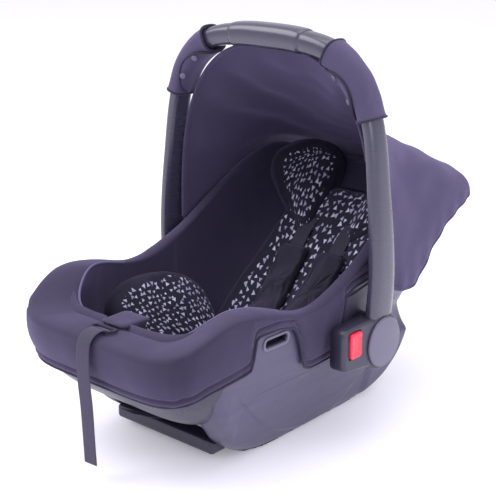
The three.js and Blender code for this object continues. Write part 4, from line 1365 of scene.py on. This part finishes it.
def canopy_section(y, q, tuck=0.0):
    """The hood's arch at y; q goes from 0 at the left hem to 1 at the right hem."""
    t = np.clip((y - FRONT_Y) / (REAR_Y - FRONT_Y), 0, 1)
    over = np.clip(np.sin(q * math.pi), 0, 1)
    half = CANOPY_HALF - tuck - 22 * t * over - 11 * t**3 * (1 - over)
    top = CROWN_Z + (REAR_TOP_Z - CROWN_Z) * t - 12 * math.sin(t * math.pi) - tuck
    base = canopy_hem(y)
    power = 2 / (2.8 + 1.2 * t**3)
    c = np.cos(q * math.pi)
    x = np.sign(c) * np.abs(c) ** power * half
    z = base + (top - base) * np.clip(np.sin(q * math.pi), 0, 1) ** power
    return np.stack([x, np.full_like(x, y), z], axis=-1)


span = np.linspace(0, 1, 241)
span = span + 0.035 * np.sin(span * 2 * math.pi) * np.cos(span * 2 * math.pi)
rows = []
run = []
for y in np.linspace(FRONT_Y, REAR_Y - REAR_ROUND, 96):
    rows.append(canopy_section(y, span))
    run.append((y - FRONT_Y) / (REAR_Y - FRONT_Y))
for turn in np.linspace(0, math.pi / 2, 7)[1:]:
    y = REAR_Y - REAR_ROUND + REAR_ROUND * math.sin(turn)
    rows.append(canopy_section(y, span, REAR_ROUND * (1 - math.cos(turn))))
    run.append((y - FRONT_Y) / (REAR_Y - FRONT_Y))
# The rear drops down behind the shell to the gathered hem.
rim_row = rows[-1]
for share in np.linspace(0, 1, 9)[1:]:
    row = rim_row.copy()
    foot_z = float(canopy_hem(REAR_Y)) - 4.0 + 0.0 * row[:, 2]
    row[:, 2] = row[:, 2] + (foot_z - row[:, 2]) * share
    row[:, 0] = row[:, 0] * (1 - 0.02 * share)
    row[:, 1] = REAR_Y + 0.6 - 3.0 * share
    rows.append(row)
    run.append(1.0 + 0.1 * share)
canopy_grid = np.stack(rows)
run = np.array(run)
normals = grid_normals(canopy_grid)
if np.mean(np.sum(normals[:90] * (canopy_grid[:90] - np.array([0, 150, 250.0])), axis=-1)) < 0:
    normals = -normals
q_field = np.broadcast_to(span[None], canopy_grid.shape[:2])
t_field = np.broadcast_to(run[:, None], canopy_grid.shape[:2])
# Long soft folds run back and down from each sleeve, the slack hangs between them,
# and the elastic puckers the hem.
near_hem = np.minimum(q_field, 1 - q_field)
sleeve_pull = np.exp(-(((near_hem - 0.3) / 0.17) ** 2)) * np.exp(-((t_field / 0.62) ** 2))
folds = 6.0 * sleeve_pull * np.sin(near_hem * 46 - t_field * 11) * np.clip(t_field * 7, 0, 1)
droop = -1.5 * np.sin(np.clip(t_field, 0, 1) * math.pi) * np.clip(np.sin(q_field * math.pi), 0, 1) ** 2
pucker = 1.1 * np.sin(t_field * 52) * np.exp(-near_hem * 60)
loose = hills(canopy_grid, 150.0, 8) * 2.6 + hills(canopy_grid, 60.0, 9) * 1.0
# The front edge reaches up to the handle it is sewn to.
reach = np.clip(1 - t_field / 0.14, 0, 1) ** 2 * np.clip(np.sin(q_field * math.pi), 0, 1) ** 3
canopy_grid[..., 2] += 8.0 * reach
free = np.clip(t_field * 10, 0, 1) * np.clip((1.1 - t_field) * 8, 0, 1)
canopy_grid = canopy_grid + normals * ((folds + droop + pucker + loose) * free)[..., None]
canopy = grid_mesh("canopy_cloth", canopy_grid)
thicken(canopy, 1.6, offset=-1.0)
belongs(canopy, None, canopy_finish, "canopy_fabric", "canopy")
front_edge = smooth_path(canopy_grid[0][::4], 260)
binding = round_tube("canopy_binding", front_edge, 2.6, 12, up=(0.0, 1.0, 0.0), flat=2.0)
belongs(binding, "handle", canopy_finish, "canopy_fabric")
hem_line = np.concatenate([canopy_grid[:-4, 0], canopy_grid[-1, 4:-4], canopy_grid[:-4, -1][::-1]])
elastic = round_tube("canopy_elastic", smooth_path(hem_line[::3], 360), 2.6, 10)
belongs(elastic, None, canopy_finish, "canopy_fabric")

# %% [markdown]
# Two sleeves of canopy cloth go round the handle. Each has a flap that closes
# on its inner side with two snaps.

# %% Canopy sleeves
canopy_pieces = [binding, elastic]
# Each sleeve's name, the shares of the handle it starts and ends at, and its seed.
SLEEVES = (("right", 13 / 46, 18 / 46, 41), ("left", 28 / 46, 33 / 46, 42))
for word, first, last, seed in SLEEVES:
    count = len(arch_rows(first, last, 0.0))
    share = np.linspace(0, 1, count)
    grow = 3.4 + 0.9 * np.exp(-((share / 0.05) ** 2)) + 0.9 * np.exp(-(((1 - share) / 0.05) ** 2))
    sleeve = grid_mesh(f"sleeve_{word}", arch_rows(first, last, grow, 64, ruffle=0.7, seed=seed), around=True)
    outward(sleeve)
    thicken(sleeve, 2.4, offset=-1.0)
    belongs(sleeve, "handle", canopy_finish, "canopy_fabric", f"canopy_sleeve_{word}")
    canopy_pieces.append(sleeve)
    for end, at in (("low", first), ("high", last)):
        ring = arch_rows(at, at + 0.001, 4.6, 64)[0]
        band = round_tube(f"sleeve_edge_{word}_{end}", ring, 1.9, 10, closed=True)
        belongs(band, "handle", binding_finish, "canopy_fabric")
        canopy_pieces.append(band)


def on_sleeve(share, turn, grow):
    """A point on the sleeve: share along the handle and turn round it, half a turn being its inner side."""
    at = share * (ARCH_COUNT - 1)
    index = np.arange(ARCH_COUNT)

    def read(values):
        return np.interp(at, index, values)

    middle = np.stack([read(arch[:, k]) for k in range(3)], axis=-1)
    out = np.stack([read(arch_out[:, k]) for k in range(3)], axis=-1)
    c = np.sign(np.cos(turn)) * np.abs(np.cos(turn)) ** (2 / 2.7)
    s = np.sign(np.sin(turn)) * np.abs(np.sin(turn)) ** (2 / 2.7)
    side = out * (c * (read(half_thick) + grow))[..., None]
    return middle + side + np.array([0.0, 1.0, 0.0]) * (s * (read(half_depth) + grow))[..., None]


for word, first, last, seed in SLEEVES:
    share = np.linspace(first + 0.004, last - 0.004, 60)
    part = np.linspace(0, 1, 60)
    bulge = 0.12 + 1.3 * np.sin(part * math.pi) ** 0.6
    rows = []
    for k in np.linspace(0, 1, 18):
        turn = math.pi - 0.5 + (0.5 + bulge) * k
        rows.append(on_sleeve(share, turn, np.full(60, 6.0 + 0.5 * math.sin(k * math.pi))))
    flap = grid_mesh(f"sleeve_flap_{word}", np.stack(rows))
    thicken(flap, 1.4, offset=0.0)
    belongs(flap, "handle", canopy_finish, "canopy_fabric")
    edge_path = on_sleeve(share, math.pi + bulge, np.full(60, 6.6))
    flap_edge = round_tube(f"flap_edge_{word}", edge_path, 1.6, 10)
    belongs(flap_edge, "handle", binding_finish, "canopy_fabric")
    canopy_pieces += [flap, flap_edge]
    for count, spot in enumerate((0.3, 0.72)):
        k = int(spot * 59)
        centre = on_sleeve(share[k : k + 1], np.array([math.pi + bulge[k] * 0.74]), np.full(1, 7.0))[0]
        other = on_sleeve(share[k : k + 1], np.array([math.pi + bulge[k] * 0.74]), np.full(1, 10.0))[0]
        way = unit(other - centre)
        path = centre[None] + way[None] * np.array([0.0, 0.8, 1.6, 2.2])[:, None]
        snap = round_tube(f"snap_{word}_{count + 1}", path, 4.6, 24, up=(0.3, 0.2, 0.93))
        soften_edges(snap, 0.8)
        belongs(snap, "handle", cap_finish, "light_plastic")
        canopy_pieces.append(snap)

for cloth_piece in (canopy, elastic):
    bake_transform(cloth_piece)
print("sleeves done")

# %% [markdown]
# ## Floor and light
# A pale sweep of studio floor, a big soft box high on the left and a pale room all round.

# %% Floor and light
floor_mesh = bpy.data.meshes.new("floor")
floor_mesh.from_pydata([(-30, -30, 0), (30, -30, 0), (30, 30, 0), (-30, 30, 0)], [], [(0, 1, 2, 3)])
floor = bpy.data.objects.new("floor", floor_mesh)
bpy.context.scene.collection.objects.link(floor)
finish, tree, bsdf, spots = start_material("studio_floor")
mottle = noise(tree, spots.outputs["Object"], 3.0, 2.0)
pale = blend_colours(tree, mottle, (0.90, 0.89, 0.96, 1.0), (0.93, 0.92, 0.98, 1.0))
feed(tree, bsdf.inputs["Base Color"], pale)
bsdf.inputs["Roughness"].default_value = 0.7
bsdf.inputs["Emission Color"].default_value = (0.96, 0.95, 1.0, 1.0)
bsdf.inputs["Emission Strength"].default_value = 0.22
floor.data.materials.append(finish)


def soft_box(name, place, aim, size, power, colour=(1.0, 1.0, 1.0)):
    """A square soft light at place, turned to aim."""
    lamp = bpy.data.lights.new(name, "AREA")
    lamp.shape = "RECTANGLE"
    lamp.size = size[0]
    lamp.size_y = size[1]
    lamp.energy = power
    lamp.color = colour
    thing = bpy.data.objects.new(name, lamp)
    bpy.context.scene.collection.objects.link(thing)
    thing.location = place
    thing.rotation_euler = (Vector(place) - Vector(aim)).to_track_quat("Z", "Y").to_euler()
    return thing


soft_box("key", (-1.6, -1.4, 2.4), (0, 0, 0.2), (2.2, 2.2), 62.0, (1.0, 0.98, 1.0))
soft_box("side", (2.4, -0.6, 1.5), (0, 0, 0.3), (1.8, 1.8), 24.0, (0.97, 0.97, 1.0))
soft_box("top", (0.3, 0.6, 2.8), (0, 0, 0.2), (2.4, 2.4), 30.0)
world = bpy.data.worlds.new("room")
world.use_nodes = True
world.node_tree.nodes["Background"].inputs["Color"].default_value = (0.93, 0.92, 1.0, 1.0)
world.node_tree.nodes["Background"].inputs["Strength"].default_value = 0.85
bpy.context.scene.world = world
bpy.context.scene.view_settings.view_transform = "Standard"
bpy.context.scene.view_settings.look = "None"
print("light ready")
